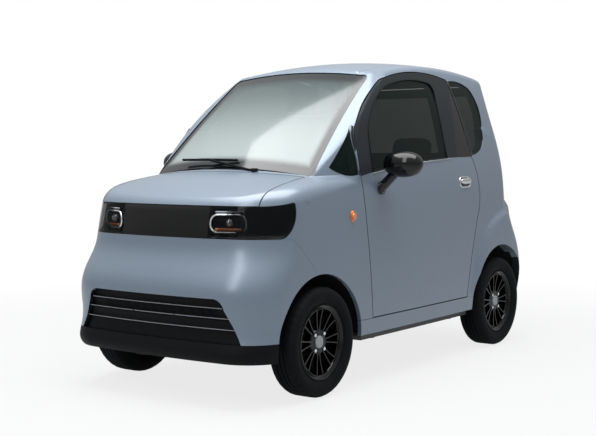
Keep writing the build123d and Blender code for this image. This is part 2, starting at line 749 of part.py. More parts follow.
def rear_bumper_region(grow):
    outline = [((-REACH, 0), None), ((-1130, 0), None), ((-1130, 592), None), ((-REACH, 592), None)]
    return side_prism(outline, -FAR, FAR, grow)


def make_rear():
    region = rear_bumper_region(0)
    bumper = (SKIN_SHELL & region) + (FLARE & region) + (mirrored(FLARE) & region) - REAR_ARCH
    keep("rear_bumper", bumper & box(-REACH, 0, -FAR, FAR, LIP_BOTTOM_Z, TOP))
    gate = LENS_SHELL & front_prism(TAILGATE_OUTLINE, -REACH, -900, -PANEL_GAP / 2)
    gate = gate + (LAMP_DEPTH & front_prism(TAILGATE_OUTLINE, -REACH, -900, -PANEL_GAP / 2 - SHUT_STEP))
    gate = gate + (DOOR_LEAF & front_prism(TAILGATE_OUTLINE, -REACH, -900, -LEAF_INSET))
    keep("tailgate", gate - front_prism(REAR_WINDOW_OUTLINE, -REACH, -900))
    keep("tailgate_glass", GLASS_SHELL & front_prism(REAR_WINDOW_OUTLINE, -REACH, -900, -SEAT_GAP))


def make_sills():
    sill = SKIN_SHELL & box(-700, 600, 0, FAR, SILL_BOTTOM_Z, SILL_TOP_Z - TRIM_GAP)
    keep("sills", both(sill - ARCHES))


# ------------------------------------------------------ floor and inside


def make_tub():
    tub = box(HEEL_X, TOE_X, -FAR, FAR, FLOOR_BOTTOM_Z, FLOOR_TOP_Z)
    tub = tub + box(TOE_X - 10, NOSE_FLOOR_X, -INNER_WING_Y, INNER_WING_Y, FLOOR_BOTTOM_Z, FLOOR_TOP_Z)
    tub = tub + box(FIREWALL_X, FIREWALL_X + SHEET, -INNER_WING_Y, INNER_WING_Y,
                    FLOOR_BOTTOM_Z, FIREWALL_TOP_Z)
    tub = tub + box(HEEL_X - 2 * SHEET, HEEL_X, -FAR, FAR, FLOOR_BOTTOM_Z, REAR_FLOOR_Z)
    tub = tub + box(TAIL_PANEL_X, HEEL_X - SHEET, -REAR_RAIL_Y, REAR_RAIL_Y,
                    REAR_FLOOR_Z - 2 * SHEET, REAR_FLOOR_Z)
    tub = tub + box(TAIL_PANEL_X, TAIL_PANEL_X + SHEET, -REAR_RAIL_Y, REAR_RAIL_Y,
                    LIP_TOP_Z, REAR_FLOOR_Z)
    tub = tub + box(NOSE_FLOOR_X - 2 * SHEET, NOSE_FLOOR_X + 2 * SHEET, -BEAM_HALF, BEAM_HALF,
                    LIP_TOP_Z, REAR_FLOOR_Z)
    for s in (-1, 1):
        inner = s * (INNER_WING_Y - SHEET)
        wing = sorted((inner, s * INNER_WING_Y))
        flank = sorted((inner, s * FAR))
        tower = sorted((inner, s * (KINGPIN_Y + TOWER_HALF)))
        tub = tub + box(TOE_X - 10, NOSE_FLOOR_X, wing[0], wing[1], FLOOR_BOTTOM_Z, TOWER_TOP_Z)
        tub = tub + box(TOE_X, TOE_X + SHEET, flank[0], flank[1], FLOOR_BOTTOM_Z, FIREWALL_TOP_Z)
        tub = tub + box(FRONT_AXLE_X - TOWER_HALF, FRONT_AXLE_X + TOWER_HALF, tower[0], tower[1],
                        TOWER_TOP_Z - SHEET, TOWER_TOP_Z)
        for x in JACK_PAD_X:
            tub = tub + upright(x, s * JACK_PAD_Y, JACK_PAD_Z, FLOOR_BOTTOM_Z + 5, JACK_PAD_RADIUS)
    tub = tub & SKIN_INNER
    for s in (-1, 1):
        beyond = sorted((s * TUB_DOOR_Y, s * FAR))
        tub = tub - box(HEEL_X - 100, TOE_X - 3, beyond[0], beyond[1], SILL_TOP_Z - 3, TOP)
        tub = tub - upright(FRONT_AXLE_X, s * KINGPIN_Y, 600, 700, STRUT_ROD_RADIUS + SHAFT_CLEARANCE)
    keep("body_tub", tub)
    keep("battery_pack", box(BATTERY_REAR_X, BATTERY_FRONT_X, -BATTERY_HALF, BATTERY_HALF,
                             BATTERY_BOTTOM_Z, FLOOR_BOTTOM_Z))


def ring(x, y0, y1, outer, inner):
    tube = across(x, (y0 + y1) / 2, TYRE_RADIUS, outer, y1 - y0)
    return tube - across(x, (y0 + y1) / 2, TYRE_RADIUS, inner, y1 - y0 + 2)


def make_arch_liners():
    front = ring(FRONT_AXLE_X, INNER_WING_Y, 590, FRONT_ARCH_RADIUS + LINER_GAP + LINER_THICK,
                 FRONT_ARCH_RADIUS + LINER_GAP)
    front = front & box(FRONT_AXLE_X - 400, FRONT_AXLE_X + 400, 0, FAR, TYRE_RADIUS, TOP)
    front = front - box(0, 486, 0, FAR, 0, TOP)
    front = front - upright(FRONT_AXLE_X, KINGPIN_Y, 500, 700, 36)
    outer = REAR_ARCH_RADIUS + LINER_GAP + LINER_THICK
    rear = ring(REAR_AXLE_X, REAR_RAIL_Y, 590, outer, REAR_ARCH_RADIUS + LINER_GAP)
    end = across(REAR_AXLE_X, REAR_RAIL_Y + LINER_THICK / 2, TYRE_RADIUS, outer, LINER_THICK)
    rear = rear + (end & box(-REACH, 0, 0, FAR, REAR_FLOOR_Z, TOP))
    rear = rear & box(REAR_AXLE_X - 400, -580, 0, FAR, TYRE_RADIUS + 40, TOP)
    behind = box(-REACH, -1134, 0, FAR, 0, 588)
    rear = (rear & WALL_INNER) + (rear & SKIN_INNER & behind)
    front = front & SKIN_INNER
    keep("arch_liners", both(Compound(front.solids() + rear.solids())))


def make_front_axle():
    arms = box(FRONT_AXLE_X - 60, FRONT_AXLE_X + 60, -SUBFRAME_HALF, SUBFRAME_HALF, 160, FLOOR_BOTTOM_Z)
    for s in (-1, 1):
        reach = sorted((s * (SUBFRAME_HALF - 5), s * KINGPIN_Y))
        arm = box(FRONT_AXLE_X - 25, FRONT_AXLE_X + 25, reach[0], reach[1], ARM_BOTTOM_Z, ARM_TOP_Z)
        arm = arm + upright(FRONT_AXLE_X, s * KINGPIN_Y, ARM_BOTTOM_Z, ARM_TOP_Z + 12, STRUT_RADIUS)
        arm = arm - upright(FRONT_AXLE_X, s * KINGPIN_Y, 100, 300, LOWER_PIN_RADIUS + SHAFT_CLEARANCE)
        arms = arms + arm
    keep("front_subframe", arms)
    stub_end = TRACK_HALF + STUB_LENGTH
    knuckle = box(FRONT_AXLE_X - 30, FRONT_AXLE_X + 30, KINGPIN_Y - 22, KINGPIN_Y + 14, 200, 350)
    knuckle = knuckle + upright(FRONT_AXLE_X, KINGPIN_Y, ARM_BOTTOM_Z + 4, 205, LOWER_PIN_RADIUS)
    knuckle = knuckle + upright(FRONT_AXLE_X, KINGPIN_Y, 345, STRUT_TOP_Z, STRUT_RADIUS)
    knuckle = knuckle + upright(FRONT_AXLE_X, KINGPIN_Y, STRUT_TOP_Z - 5, TOWER_TOP_Z - 2, STRUT_ROD_RADIUS)
    knuckle = knuckle + upright(FRONT_AXLE_X, KINGPIN_Y, STRUT_TOP_Z - 8, STRUT_TOP_Z, SPRING_SEAT_RADIUS)
    knuckle = knuckle + across(FRONT_AXLE_X, BRAKE_Y, TYRE_RADIUS, BRAKE_RADIUS, BRAKE_THICK)
    knuckle = knuckle + across(FRONT_AXLE_X, (KINGPIN_Y + stub_end) / 2, TYRE_RADIUS,
                               HUB_BORE_RADIUS - SHAFT_CLEARANCE, stub_end - KINGPIN_Y)
    keep("knuckle_left", knuckle)
    keep("knuckle_right", Pos(FRONT_AXLE_X, 0, 0) * Rot(0, 0, 180) * Pos(-FRONT_AXLE_X, 0, 0) * knuckle)


def make_rear_axle():
    stub_end = TRACK_HALF + STUB_LENGTH
    beam = across(REAR_AXLE_X, 0, TYRE_RADIUS, 32, 2 * (TRACK_HALF - 60))
    beam = beam + across(REAR_AXLE_X, 0, TYRE_RADIUS, HUB_BORE_RADIUS - SHAFT_CLEARANCE, 2 * stub_end)
    beam = beam + box(REAR_AXLE_X - 120, REAR_AXLE_X + 130, -MOTOR_HALF_Y, MOTOR_HALF_Y, 170, 385)
    for s in (-1, 1):
        beam = beam + across(REAR_AXLE_X, s * BRAKE_Y, TYRE_RADIUS, BRAKE_RADIUS, BRAKE_THICK)
        beam = beam + upright(REAR_AXLE_X, s * SPRING_Y, TYRE_RADIUS, REAR_FLOOR_Z - 2 * SHEET, 30)
        beam = beam + box(REAR_AXLE_X, HEEL_X - 2 * SHEET, s * TRAILING_ARM_Y - 20,
                          s * TRAILING_ARM_Y + 20, 240, 268)
    keep("rear_axle", beam)


def make_wheels():
    half = TYRE_WIDTH / 2
    rim_half = 57.0
    seat = 152.0
    tread = [
        ((seat, -50), None),
        ((RIM_FLANGE_RADIUS + 2, -50), None),
        ((212, -half), None),
        ((TYRE_RADIUS, -54), None),
        ((TYRE_RADIUS, 54), None),
        ((212, half), None),
        ((RIM_FLANGE_RADIUS + 2, 50), None),
        ((seat, 50), None),
    ]
    barrel = [
        ((seat - 8, -rim_half), None),
        ((RIM_FLANGE_RADIUS, -rim_half), None),
        ((RIM_FLANGE_RADIUS, -50.3), None),
        ((seat - 0.3, -50.3), None),
        ((seat - 0.3, 50.3), None),
        ((RIM_FLANGE_RADIUS, 50.3), None),
        ((RIM_FLANGE_RADIUS, rim_half), None),
        ((seat - 8, rim_half), None),
    ]
    spin = Axis((0, 0, 0), (0, 1, 0))
    tyre = revolve(outline_face(tread, lambda p: (p[0], p[1], 0)), spin)
    rim = revolve(outline_face(barrel, lambda p: (p[0], p[1], 0)), spin)
    rim = rim + Pos(0, 16, 0) * Rot(90, 0, 0) * Cylinder(50, 48)
    for i in range(SPOKES):
        spoke = Pos(97, 24, 0) * Box(108, 20, 20)
        rim = rim + Rot(0, i * 360 / SPOKES, 0) * spoke
    rim = rim - Pos(0, STUB_LENGTH + 1 - 100, 0) * Rot(90, 0, 0) * Cylinder(HUB_BORE_RADIUS, 200)
    for end, x in (("front", FRONT_AXLE_X), ("rear", REAR_AXLE_X)):
        for side, s in (("left", 1), ("right", -1)):
            place = Pos(x, s * TRACK_HALF, TYRE_RADIUS)
            turn = Rot(0, 0, 0) if s == 1 else Rot(0, 0, 180)
            keep("tyre_" + end + "_" + side, place * turn * tyre)
            keep("rim_" + end + "_" + side, place * turn * rim)


def make_cabin():
    seats = []
    bases = []
    for s in (-1, 1):
        cushion = Pos(-150, s * SEAT_Y, 460) * Box(460, 440, 120)
        back = Pos(-455, s * SEAT_Y, 760) * Rot(0, -14, 0) * Box(110, 430, 560)
        rest = Pos(-545, s * SEAT_Y, 1112) * Rot(0, -14, 0) * Box(80, 250, 180)
        seats += [cushion.fillet(40, cushion.edges()), back.fillet(40, back.edges()),
                  rest.fillet(30, rest.edges())]
        bases.append(box(-350, 50, s * SEAT_Y - 180, s * SEAT_Y + 180, FLOOR_TOP_Z, 399.7))
    keep("seats", Compound(seats))
    keep("seat_bases", Compound(bases))
    dash = [
        ((760, 930.3), None),
        ((760, 960), None),
        ((440, 960), (388, 948)),
        ((374, 905), None),
        ((380, 800), (410, 745)),
        ((470, 735), None),
        ((471, 735), None),
        ((471, 930.3), None),
    ]
    panel = side_prism(dash, -DASH_HALF, DASH_HALF) & WALL_INNER
    column_axis = Plane(origin=WHEEL_CENTRE, z_dir=(cos(radians(COLUMN_TILT)), 0, -sin(radians(COLUMN_TILT))))
    panel = panel - Solid.extrude(column_axis * Circle(29).face(), column_axis.z_dir * 500)
    keep("dashboard", panel)
    tube = column_axis.offset(60) * Circle(28).face()
    column = Solid.extrude(tube, column_axis.z_dir * 420)
    bore = Solid.extrude(column_axis.offset(50) * Circle(SHAFT_RADIUS + SHAFT_CLEARANCE).face(),
                         column_axis.z_dir * 160)
    keep("steering_column", (column - bore) - box(FIREWALL_X, REACH, -FAR, FAR, 0, TOP))
    ring_plane = column_axis
    wheel = ring_plane.location * Torus(172, 14)
    hub = Solid.extrude(ring_plane.offset(-16) * Circle(48).face(), column_axis.z_dir * 50)
    shaft = Solid.extrude(ring_plane.offset(30) * Circle(SHAFT_RADIUS).face(), column_axis.z_dir * 150)
    wheel = wheel + hub + shaft
    for angle in (0, 120, 240):
        spoke = ring_plane.location * Rot(0, 0, angle + 90) * Pos(105, 0, 0) * Box(130, 34, 12)
        wheel = wheel + spoke
    keep("steering_wheel", wheel)


def make_wiper():
    arm = tube_between((792, 196, 1030), (768, -100, 1082), 6)
    blade = tube_between((752, 60, 1082), (764, -110, 1084), 6)
    blade = blade + tube_between((764, -110, 1084), (744, -300, 1082), 6)
    boss = upright(792, 196, 1015, 1044, 16)
    keep("wiper", (arm + blade + boss) - OUTER)


make_doors()
make_handles()
make_mirrors()
make_body_sides()
make_roof()
make_glass()
make_fenders()
make_bonnet()
make_front()
make_lamps()
make_rear()
make_sills()
make_tub()
make_arch_liners()
make_front_axle()
make_rear_axle()
make_wheels()
make_cabin()
make_wiper()

for name, shape in NODES.items():
    export_step(solid_of(shape), os.path.join("parts", name + ".step"))
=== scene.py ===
import json
import math

import bmesh
import bpy
from mathutils import Matrix, Vector
from mathutils.bvhtree import BVHTree


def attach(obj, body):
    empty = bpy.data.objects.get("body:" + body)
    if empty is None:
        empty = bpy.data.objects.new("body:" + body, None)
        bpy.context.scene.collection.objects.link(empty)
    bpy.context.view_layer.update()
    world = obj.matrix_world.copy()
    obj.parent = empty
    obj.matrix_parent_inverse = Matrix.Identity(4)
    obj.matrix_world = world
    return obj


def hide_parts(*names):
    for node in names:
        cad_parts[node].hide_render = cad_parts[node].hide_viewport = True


# A two-seat microcar's looks. Metres, row frame: +X forward, +Y to the car's left, +Z up.

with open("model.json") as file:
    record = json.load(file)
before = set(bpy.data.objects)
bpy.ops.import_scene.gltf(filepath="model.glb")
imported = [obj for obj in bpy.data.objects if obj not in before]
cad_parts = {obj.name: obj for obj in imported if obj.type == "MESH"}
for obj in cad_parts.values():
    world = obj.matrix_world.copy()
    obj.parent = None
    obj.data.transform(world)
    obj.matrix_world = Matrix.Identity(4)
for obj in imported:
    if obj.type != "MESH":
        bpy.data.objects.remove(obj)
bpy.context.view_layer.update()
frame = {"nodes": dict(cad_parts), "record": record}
NODES = frame["nodes"]

# ------------------------------------------------------------------ sizes
FRONT_AXLE_X = 0.8225
REAR_AXLE_X = -0.9425
WHEEL_Y = 0.552
TYRE_RADIUS = 0.254
SIDES = (("left", 1), ("right", -1))

# ----------------------------------------------------------------- camera
IMAGE_WIDTH_PX = 596
FOCAL_PX = 1153.52
SENSOR_MM = 36.0
CAMERA_PLACE = Vector((5.090, 3.607, 1.132))
CAMERA_YAW = 3.7749
CAMERA_PITCH = -0.0593
CAMERA_ROLL = -0.0037


def add_camera():
    forward = Vector((math.cos(CAMERA_PITCH) * math.cos(CAMERA_YAW),
                      math.cos(CAMERA_PITCH) * math.sin(CAMERA_YAW),
                      math.sin(CAMERA_PITCH)))
    right = forward.cross(Vector((0, 0, 1))).normalized()
    up = right.cross(forward)
    c = math.cos(CAMERA_ROLL)
    s = math.sin(CAMERA_ROLL)
    rolled_right = right * c + up * s
    rolled_up = up * c - right * s
    data = bpy.data.cameras.new("camera")
    data.sensor_width = SENSOR_MM
    data.lens = FOCAL_PX / IMAGE_WIDTH_PX * SENSOR_MM
    camera = bpy.data.objects.new("camera", data)
    turn = Matrix((rolled_right, rolled_up, -forward)).transposed()
    camera.matrix_world = Matrix.Translation(CAMERA_PLACE) @ turn.to_4x4()
    link(camera)
    bpy.context.scene.camera = camera


# -------------------------------------------------------------- materials
def linear(hex_colour):
    """sRGB hex to linear RGBA."""
    values = [int(hex_colour[i:i + 2], 16) / 255 for i in (1, 3, 5)]
    return [v / 12.92 if v <= 0.04045 else ((v + 0.055) / 1.055) ** 2.4 for v in values] + [1.0]


def node(tree, kind, settings=None, **inputs):
    """Adds a node; settings are its own properties, inputs are values or sockets to link."""
    made = tree.nodes.new(kind)
    for key, value in (settings or {}).items():
        setattr(made, key, value)
    for key, value in inputs.items():
        socket = made.inputs[int(key[1:])] if key[1:].isdigit() else made.inputs[key.replace("_", " ")]
        if isinstance(value, bpy.types.NodeSocket):
            tree.links.new(value, socket)
        else:
            socket.default_value = value
    return made


def material(name, colour, roughness=0.5, metallic=0.0, **extra):
    """A material whose shader holds its plain values; returns it with its tree and shader."""
    made = bpy.data.materials.new(name)
    made.use_nodes = True
    tree = made.node_tree
    shader = tree.nodes["Principled BSDF"]
    shader.inputs["Base Color"].default_value = linear(colour)
    shader.inputs["Roughness"].default_value = roughness
    shader.inputs["Metallic"].default_value = metallic
    for key, value in extra.items():
        shader.inputs[key.replace("_", " ")].default_value = value
    return made, tree, shader


def grain(tree, shader, scale, depth, distance=0.0005):
    """Moulded grain: a noise bump of the given scale on object coordinates."""
    place = node(tree, "ShaderNodeTexCoord")
    noise = node(tree, "ShaderNodeTexNoise", Vector=place.outputs["Object"], Scale=scale, Detail=3.0)
    bump = node(tree, "ShaderNodeBump", Height=noise.outputs["Fac"], Strength=depth, Distance=distance)
    tree.links.new(bump.outputs["Normal"], shader.inputs["Normal"])
    return noise


def vary(tree, shader, socket, noise, low, high):
    """Drives a socket between two values by a noise."""
    spread = node(tree, "ShaderNodeMapRange", Value=noise.outputs["Fac"], To_Min=low, To_Max=high)
    tree.links.new(spread.outputs["Result"], shader.inputs[socket])


# Two-coat metallic enamel: fine aluminium flake under clear lacquer, so it
# brightens where it faces the light and the lacquer gives a soft reflection.
def metallic_enamel():
    made, tree, shader = material("metallic_enamel", "#7b8998", 0.40, 0.25,
                                  Coat_Weight=0.6, Coat_Roughness=0.2)
    place = node(tree, "ShaderNodeTexCoord")
    flake = node(tree, "ShaderNodeTexVoronoi", Vector=place.outputs["Object"], Scale=900.0)
    tint = node(tree, "ShaderNodeMix", {"data_type": "RGBA"}, Factor=flake.outputs["Color"],
                i6=linear("#687786"), i7=linear("#768494"))
    tree.links.new(tint.outputs[2], shader.inputs["Base Color"])
    broad = node(tree, "ShaderNodeTexNoise", Vector=place.outputs["Object"], Scale=2.5, Detail=2.0)
    vary(tree, shader, "Roughness", broad, 0.38, 0.46)
    return made


# Piano-black ABS: injection moulded in a polished tool, so it mirrors softly.
def piano_black():
    made, tree, shader = material("piano_black_abs", "#020304", 0.10, 0.0,
                                  Specular_IOR_Level=0.4)
    place = node(tree, "ShaderNodeTexCoord")
    wave = node(tree, "ShaderNodeTexNoise", Vector=place.outputs["Object"], Scale=14.0, Detail=2.0)
    vary(tree, shader, "Roughness", wave, 0.08, 0.14)
    return made


# Grained polypropylene from a textured tool: matt, with an uneven sheen.
def grained_plastic(name, colour, roughness, scale=700.0, depth=0.35):
    made, tree, shader = material(name, colour, roughness, Specular_IOR_Level=0.12)
    noise = grain(tree, shader, scale, depth)
    vary(tree, shader, "Roughness", noise, roughness - 0.07, roughness + 0.07)
    return made


# Tinted safety glass: body-tinted green-black sheet, glossy and see-through.
def tinted_glass(name, colour, alpha, roughness=0.02):
    made, tree, shader = material(name, colour, roughness, 0.0, IOR=1.52, Alpha=alpha,
                                  Specular_IOR_Level=0.12)
    place = node(tree, "ShaderNodeTexCoord")
    wave = node(tree, "ShaderNodeTexNoise", Vector=place.outputs["Object"], Scale=5.0, Detail=1.0)
    vary(tree, shader, "Roughness", wave, roughness * 0.5, roughness * 1.5)
    return made


SCREEN_FOOT = {"z": 1.026, "half_y": 0.486}
SCREEN_HEAD = {"z": 1.462, "half_y": 0.430}
SCREEN_CROWN = 0.16
SCREEN_LOW_Z = 1.047
SCREEN_HIGH_Z = 1.532
BORDER_FADE_START = -0.065
BORDER_FADE_END = -0.025
# Heights over which the screen's painted reflection fades from pale to dark.
PAINTED_REFLECTION_LOW_Z = 1.08
PAINTED_REFLECTION_HIGH_Z = 1.52
CLEAR_ALPHA = 0.62


# Laminated screen: its pale colour, darker towards the top, is a painted
# reflection, with a printed ceramic border that fades in over 40 mm. The edge value is how far a point
# lies past the nearest side, top or foot of the sheet, so it is negative on it.
def screen_glass():
    made, tree, shader = material("laminated_screen_glass", "#8d9a9b", 0.10, 0.0, IOR=1.52,
                                  Specular_IOR_Level=0.5)
    place = node(tree, "ShaderNodeTexCoord")
    axes = node(tree, "ShaderNodeSeparateXYZ", i0=place.outputs["Object"])
    off = node(tree, "ShaderNodeMath", {"operation": "ABSOLUTE"}, i0=axes.outputs["Y"])
    half = node(tree, "ShaderNodeMapRange", Value=axes.outputs["Z"],
                From_Min=SCREEN_FOOT["z"], From_Max=SCREEN_HEAD["z"],
                To_Min=SCREEN_FOOT["half_y"], To_Max=SCREEN_HEAD["half_y"])
    side = node(tree, "ShaderNodeMath", {"operation": "SUBTRACT"}, i0=off.outputs[0],
                i1=half.outputs["Result"])
    bow = node(tree, "ShaderNodeMath", {"operation": "MULTIPLY"}, i0=off.outputs[0],
               i1=off.outputs[0])
    crown = node(tree, "ShaderNodeMath", {"operation": "MULTIPLY_ADD"}, i0=bow.outputs[0],
                 i1=SCREEN_CROWN, i2=axes.outputs["Z"])
    top = node(tree, "ShaderNodeMath", {"operation": "SUBTRACT"}, i0=crown.outputs[0],
               i1=SCREEN_HIGH_Z)
    low = node(tree, "ShaderNodeMath", {"operation": "SUBTRACT"}, i0=SCREEN_LOW_Z,
               i1=crown.outputs[0])
    edge = node(tree, "ShaderNodeMath", {"operation": "MAXIMUM"}, i0=side.outputs[0],
                i1=top.outputs[0])
    edge = node(tree, "ShaderNodeMath", {"operation": "MAXIMUM"}, i0=edge.outputs[0],
                i1=low.outputs[0])
    fade = node(tree, "ShaderNodeMapRange", {"interpolation_type": "SMOOTHSTEP"},
                Value=edge.outputs[0], From_Min=BORDER_FADE_START, From_Max=BORDER_FADE_END,
                To_Min=0.0, To_Max=1.0)
    # Painted reflection: the glass is pale at its foot and darker towards the top.
    strip = node(tree, "ShaderNodeMapRange", {"interpolation_type": "SMOOTHSTEP"},
                 Value=axes.outputs["Z"], From_Min=PAINTED_REFLECTION_LOW_Z, From_Max=PAINTED_REFLECTION_HIGH_Z,
                 To_Min=0.0, To_Max=1.0)
    painted_reflection = node(tree, "ShaderNodeMix", {"data_type": "RGBA"}, Factor=strip.outputs["Result"],
                 i6=linear("#a3afae"), i7=linear("#485556"))
    tint = node(tree, "ShaderNodeMix", {"data_type": "RGBA"}, Factor=fade.outputs["Result"],
                i6=painted_reflection.outputs[2], i7=linear("#171c1f"))
    tree.links.new(tint.outputs[2], shader.inputs["Base Color"])
    alpha = node(tree, "ShaderNodeMapRange", Value=fade.outputs["Result"], To_Min=CLEAR_ALPHA,
                 To_Max=1.0)
    tree.links.new(alpha.outputs["Result"], shader.inputs["Alpha"])
    return made


# Bright chrome plate on moulded plastic: mirror-like with a faint haze.
def chrome_plate():
    made, tree, shader = material("chrome_plate", "#d4d7da", 0.08, 1.0)
    place = node(tree, "ShaderNodeTexCoord")
    haze = node(tree, "ShaderNodeTexNoise", Vector=place.outputs["Object"], Scale=60.0, Detail=3.0)
    vary(tree, shader, "Roughness", haze, 0.05, 0.13)
    return made


# Moulded acrylic lens: clear colour all through, lightly ribbed inside.
def acrylic_lens(name, colour, roughness=0.12):
    made, tree, shader = material(name, colour, roughness, 0.0, IOR=1.49, Coat_Weight=0.8,
                                  Coat_Roughness=0.03)
    place = node(tree, "ShaderNodeTexCoord")
    rib = node(tree, "ShaderNodeTexWave", {"bands_direction": "Z"}, Vector=place.outputs["Object"],
               Scale=60.0, Distortion=0.0)
    bump = node(tree, "ShaderNodeBump", Height=rib.outputs["Fac"], Strength=0.25, Distance=0.001)
    tree.links.new(bump.outputs["Normal"], shader.inputs["Normal"])
    return made


# Vulcanised rubber: matt carbon black with a faint dusty bloom.
def tyre_rubber():
    made, tree, shader = material("vulcanised_rubber", "#07090b", 0.72, 0.0,
                                  Specular_IOR_Level=0.1)
    grain(tree, shader, 260.0, 0.3)
    place = node(tree, "ShaderNodeTexCoord")
    dust = node(tree, "ShaderNodeTexNoise", Vector=place.outputs["Object"], Scale=18.0, Detail=4.0)
    tint = node(tree, "ShaderNodeMix", {"data_type": "RGBA"}, Factor=dust.outputs["Fac"],
                i6=linear("#07090a"), i7=linear("#131618"))
    tree.links.new(tint.outputs[2], shader.inputs["Base Color"])
    return made


# Cast alloy under gloss black lacquer: smooth, with a slight orange peel.
def lacquered_alloy():
    made, tree, shader = material("lacquered_alloy", "#020303", 0.12, 0.0,
                                  Specular_IOR_Level=0.3)
    grain(tree, shader, 120.0, 0.08)
    return made


# Machined steel: bare, finely rough, with a patchy oil haze.
def machined_steel():
    made, tree, shader = material("machined_steel", "#6f7173", 0.38, 1.0)
    noise = grain(tree, shader, 90.0, 0.15)
    vary(tree, shader, "Roughness", noise, 0.25, 0.5)
    return made


# Black chassis enamel: dipped, semi-gloss, with a slightly lumpy film.
def chassis_enamel():
    made, tree, shader = material("chassis_enamel", "#17181a", 0.45)
    noise = grain(tree, shader, 35.0, 0.2, 0.001)
    vary(tree, shader, "Roughness", noise, 0.35, 0.6)
    return made


# Woven polyester seat cloth: a fine diagonal twill with soft sheen.
def seat_cloth(name, colour_a, colour_b):
    made, tree, shader = material(name, colour_a, 0.9, 0.0, Sheen_Weight=0.35, Sheen_Roughness=0.5)
    place = node(tree, "ShaderNodeTexCoord")
    weave = node(tree, "ShaderNodeTexWave", {"bands_direction": "DIAGONAL"},
                 Vector=place.outputs["Object"], Scale=160.0, Distortion=1.0)
    tint = node(tree, "ShaderNodeMix", {"data_type": "RGBA"}, Factor=weave.outputs["Fac"],
                i6=linear(colour_a), i7=linear(colour_b))
    tree.links.new(tint.outputs[2], shader.inputs["Base Color"])
    bump = node(tree, "ShaderNodeBump", Height=weave.outputs["Fac"], Strength=0.4, Distance=0.0006)
    tree.links.new(bump.outputs["Normal"], shader.inputs["Normal"])
    return made


PAINT = metallic_enamel()
PIANO = piano_black()
SATIN = grained_plastic("satin_trim_pp", "#24292d", 0.42)
MATT = grained_plastic("matt_bumper_pp", "#05080a", 0.55)
CABIN = grained_plastic("cabin_soft_pp", "#26282b", 0.62, 500.0)
LINER = grained_plastic("arch_liner_pp", "#0d0e10", 0.8, 300.0)
SEAL = grained_plastic("epdm_seal", "#0a0b0c", 0.6, 900.0)
TINT = tinted_glass("tinted_side_glass", "#061714", 0.64)
SCREEN = screen_glass()
LENS = tinted_glass("smoked_lens", "#060a0d", 0.45)
CHROME = chrome_plate()
AMBER = acrylic_lens("amber_lens", "#e07a1c")
RED = acrylic_lens("red_lens", "#8e1216")
RUBBER = tyre_rubber()
ALLOY = lacquered_alloy()
STEEL = machined_steel()
CHASSIS = chassis_enamel()
CLOTH = seat_cloth("seat_twill", "#1b1d20", "#2b2e32")
CAP = grained_plastic("wheel_cap_abs", "#9a9fa4", 0.35, 400.0, 0.1)
ANODISED = grained_plastic("belt_strip_anodised", "#858b91", 0.3, 300.0, 0.1)
MIRROR = material("mirror_glass", "#c9cdd0", 0.02, 1.0)[0]

FINISH = {
    "cowl": PAINT, "roof": PAINT, "bonnet": PAINT, "front_bumper": PAINT, "rear_bumper": PAINT,
    "tailgate": PAINT, "sills": PAINT, "body_side_left": PAINT, "body_side_right": PAINT,
    "door_left": PAINT, "door_right": PAINT, "fender_left": PAINT, "fender_right": PAINT,
    "door_frame_left": SATIN, "door_frame_right": SATIN,
    "door_glass_left": TINT, "door_glass_right": TINT, "quarter_glass": TINT, "tailgate_glass": TINT,
    "windscreen": SCREEN, "headlamp_lenses": LENS,
    "lamp_panel": PIANO, "headlamps": PIANO,
    "bumper_lip": MATT, "grille": MATT, "wiper": MATT, "arch_liners": LINER,
    "side_indicators": AMBER, "tail_lamps": RED,
    "dashboard": CABIN, "seat_bases": CABIN, "steering_column": CABIN, "steering_wheel": CABIN,
    "body_tub": CHASSIS, "battery_pack": STEEL,
    "front_subframe": CHASSIS, "rear_axle": CHASSIS, "knuckle_left": STEEL, "knuckle_right": STEEL,
}


# ----------------------------------------------------------------- meshes
WELD = 0.00002


def link(obj):
    bpy.context.scene.collection.objects.link(obj)
    return obj


def solid_object(name, bm, finish, smooth_degrees=35.0):
    """Makes an object of a bmesh, smooth but for edges sharper than the angle."""
    mesh = bpy.data.meshes.new(name)
    bm.normal_update()
    bm.to_mesh(mesh)
    bm.free()
    mesh.materials.append(finish)
    for face in mesh.polygons:
        face.use_smooth = True
    mesh.set_sharp_from_angle(angle=math.radians(smooth_degrees))
    return link(bpy.data.objects.new(name, mesh))


def cut(bm, point, normal, clear=False):
    """Cuts a bmesh along a plane; clear drops what lies beyond it."""
    parts = list(bm.verts) + list(bm.edges) + list(bm.faces)
    bmesh.ops.bisect_plane(bm, geom=parts, plane_co=point, plane_no=normal, clear_outer=clear)


def thicken(piece, thickness):
    """Gives a sheet its thickness, half to each side."""
    plate = piece.modifiers.new("thickness", "SOLIDIFY")
    plate.thickness = thickness
    plate.offset = 0


def to_side(point, sign):
    """A point of the left side, or its mirror image on the right."""
    return Vector((point[0], sign * point[1], point[2]))


def node_mesh(name):
    """A welded bmesh of a CAD node."""
    bm = bmesh.new()
    bm.from_mesh(NODES[name].data)
    bmesh.ops.remove_doubles(bm, verts=bm.verts, dist=WELD)
    return bm


def rounded_block(cuts, power):
    """A gridded block with every half size 1, between a box and a ball."""
    bm = bmesh.new()
    bmesh.ops.create_cube(bm, size=2.0)
    bmesh.ops.subdivide_edges(bm, edges=bm.edges, cuts=cuts, use_grid_fill=True)
    for v in bm.verts:
        reach = sum(abs(c) ** power for c in v.co) ** (1 / power)
        v.co = v.co / reach
    return bm


def body_of_node(name):
    for body, nodes in frame["record"]["behaviour"]["bodies"].items():
        if name in nodes:
            return body
    raise KeyError(name)


CABIN_MIDDLE_Z = 0.75
LENGTHWISE_WEIGHT = 0.25
INWARD_LIMIT = -0.02


def line_inside(bm):
    """Faces of a painted shell that look into the car take the second finish."""
    bm.normal_update()
    for face in bm.faces:
        middle = face.calc_center_median()
        outward = Vector((LENGTHWISE_WEIGHT * middle.x, middle.y, middle.z - CABIN_MIDDLE_Z))
        if face.normal.dot(outward) < INWARD_LIMIT:
            face.material_index = 1


LAMP_RED_HALF = 0.522


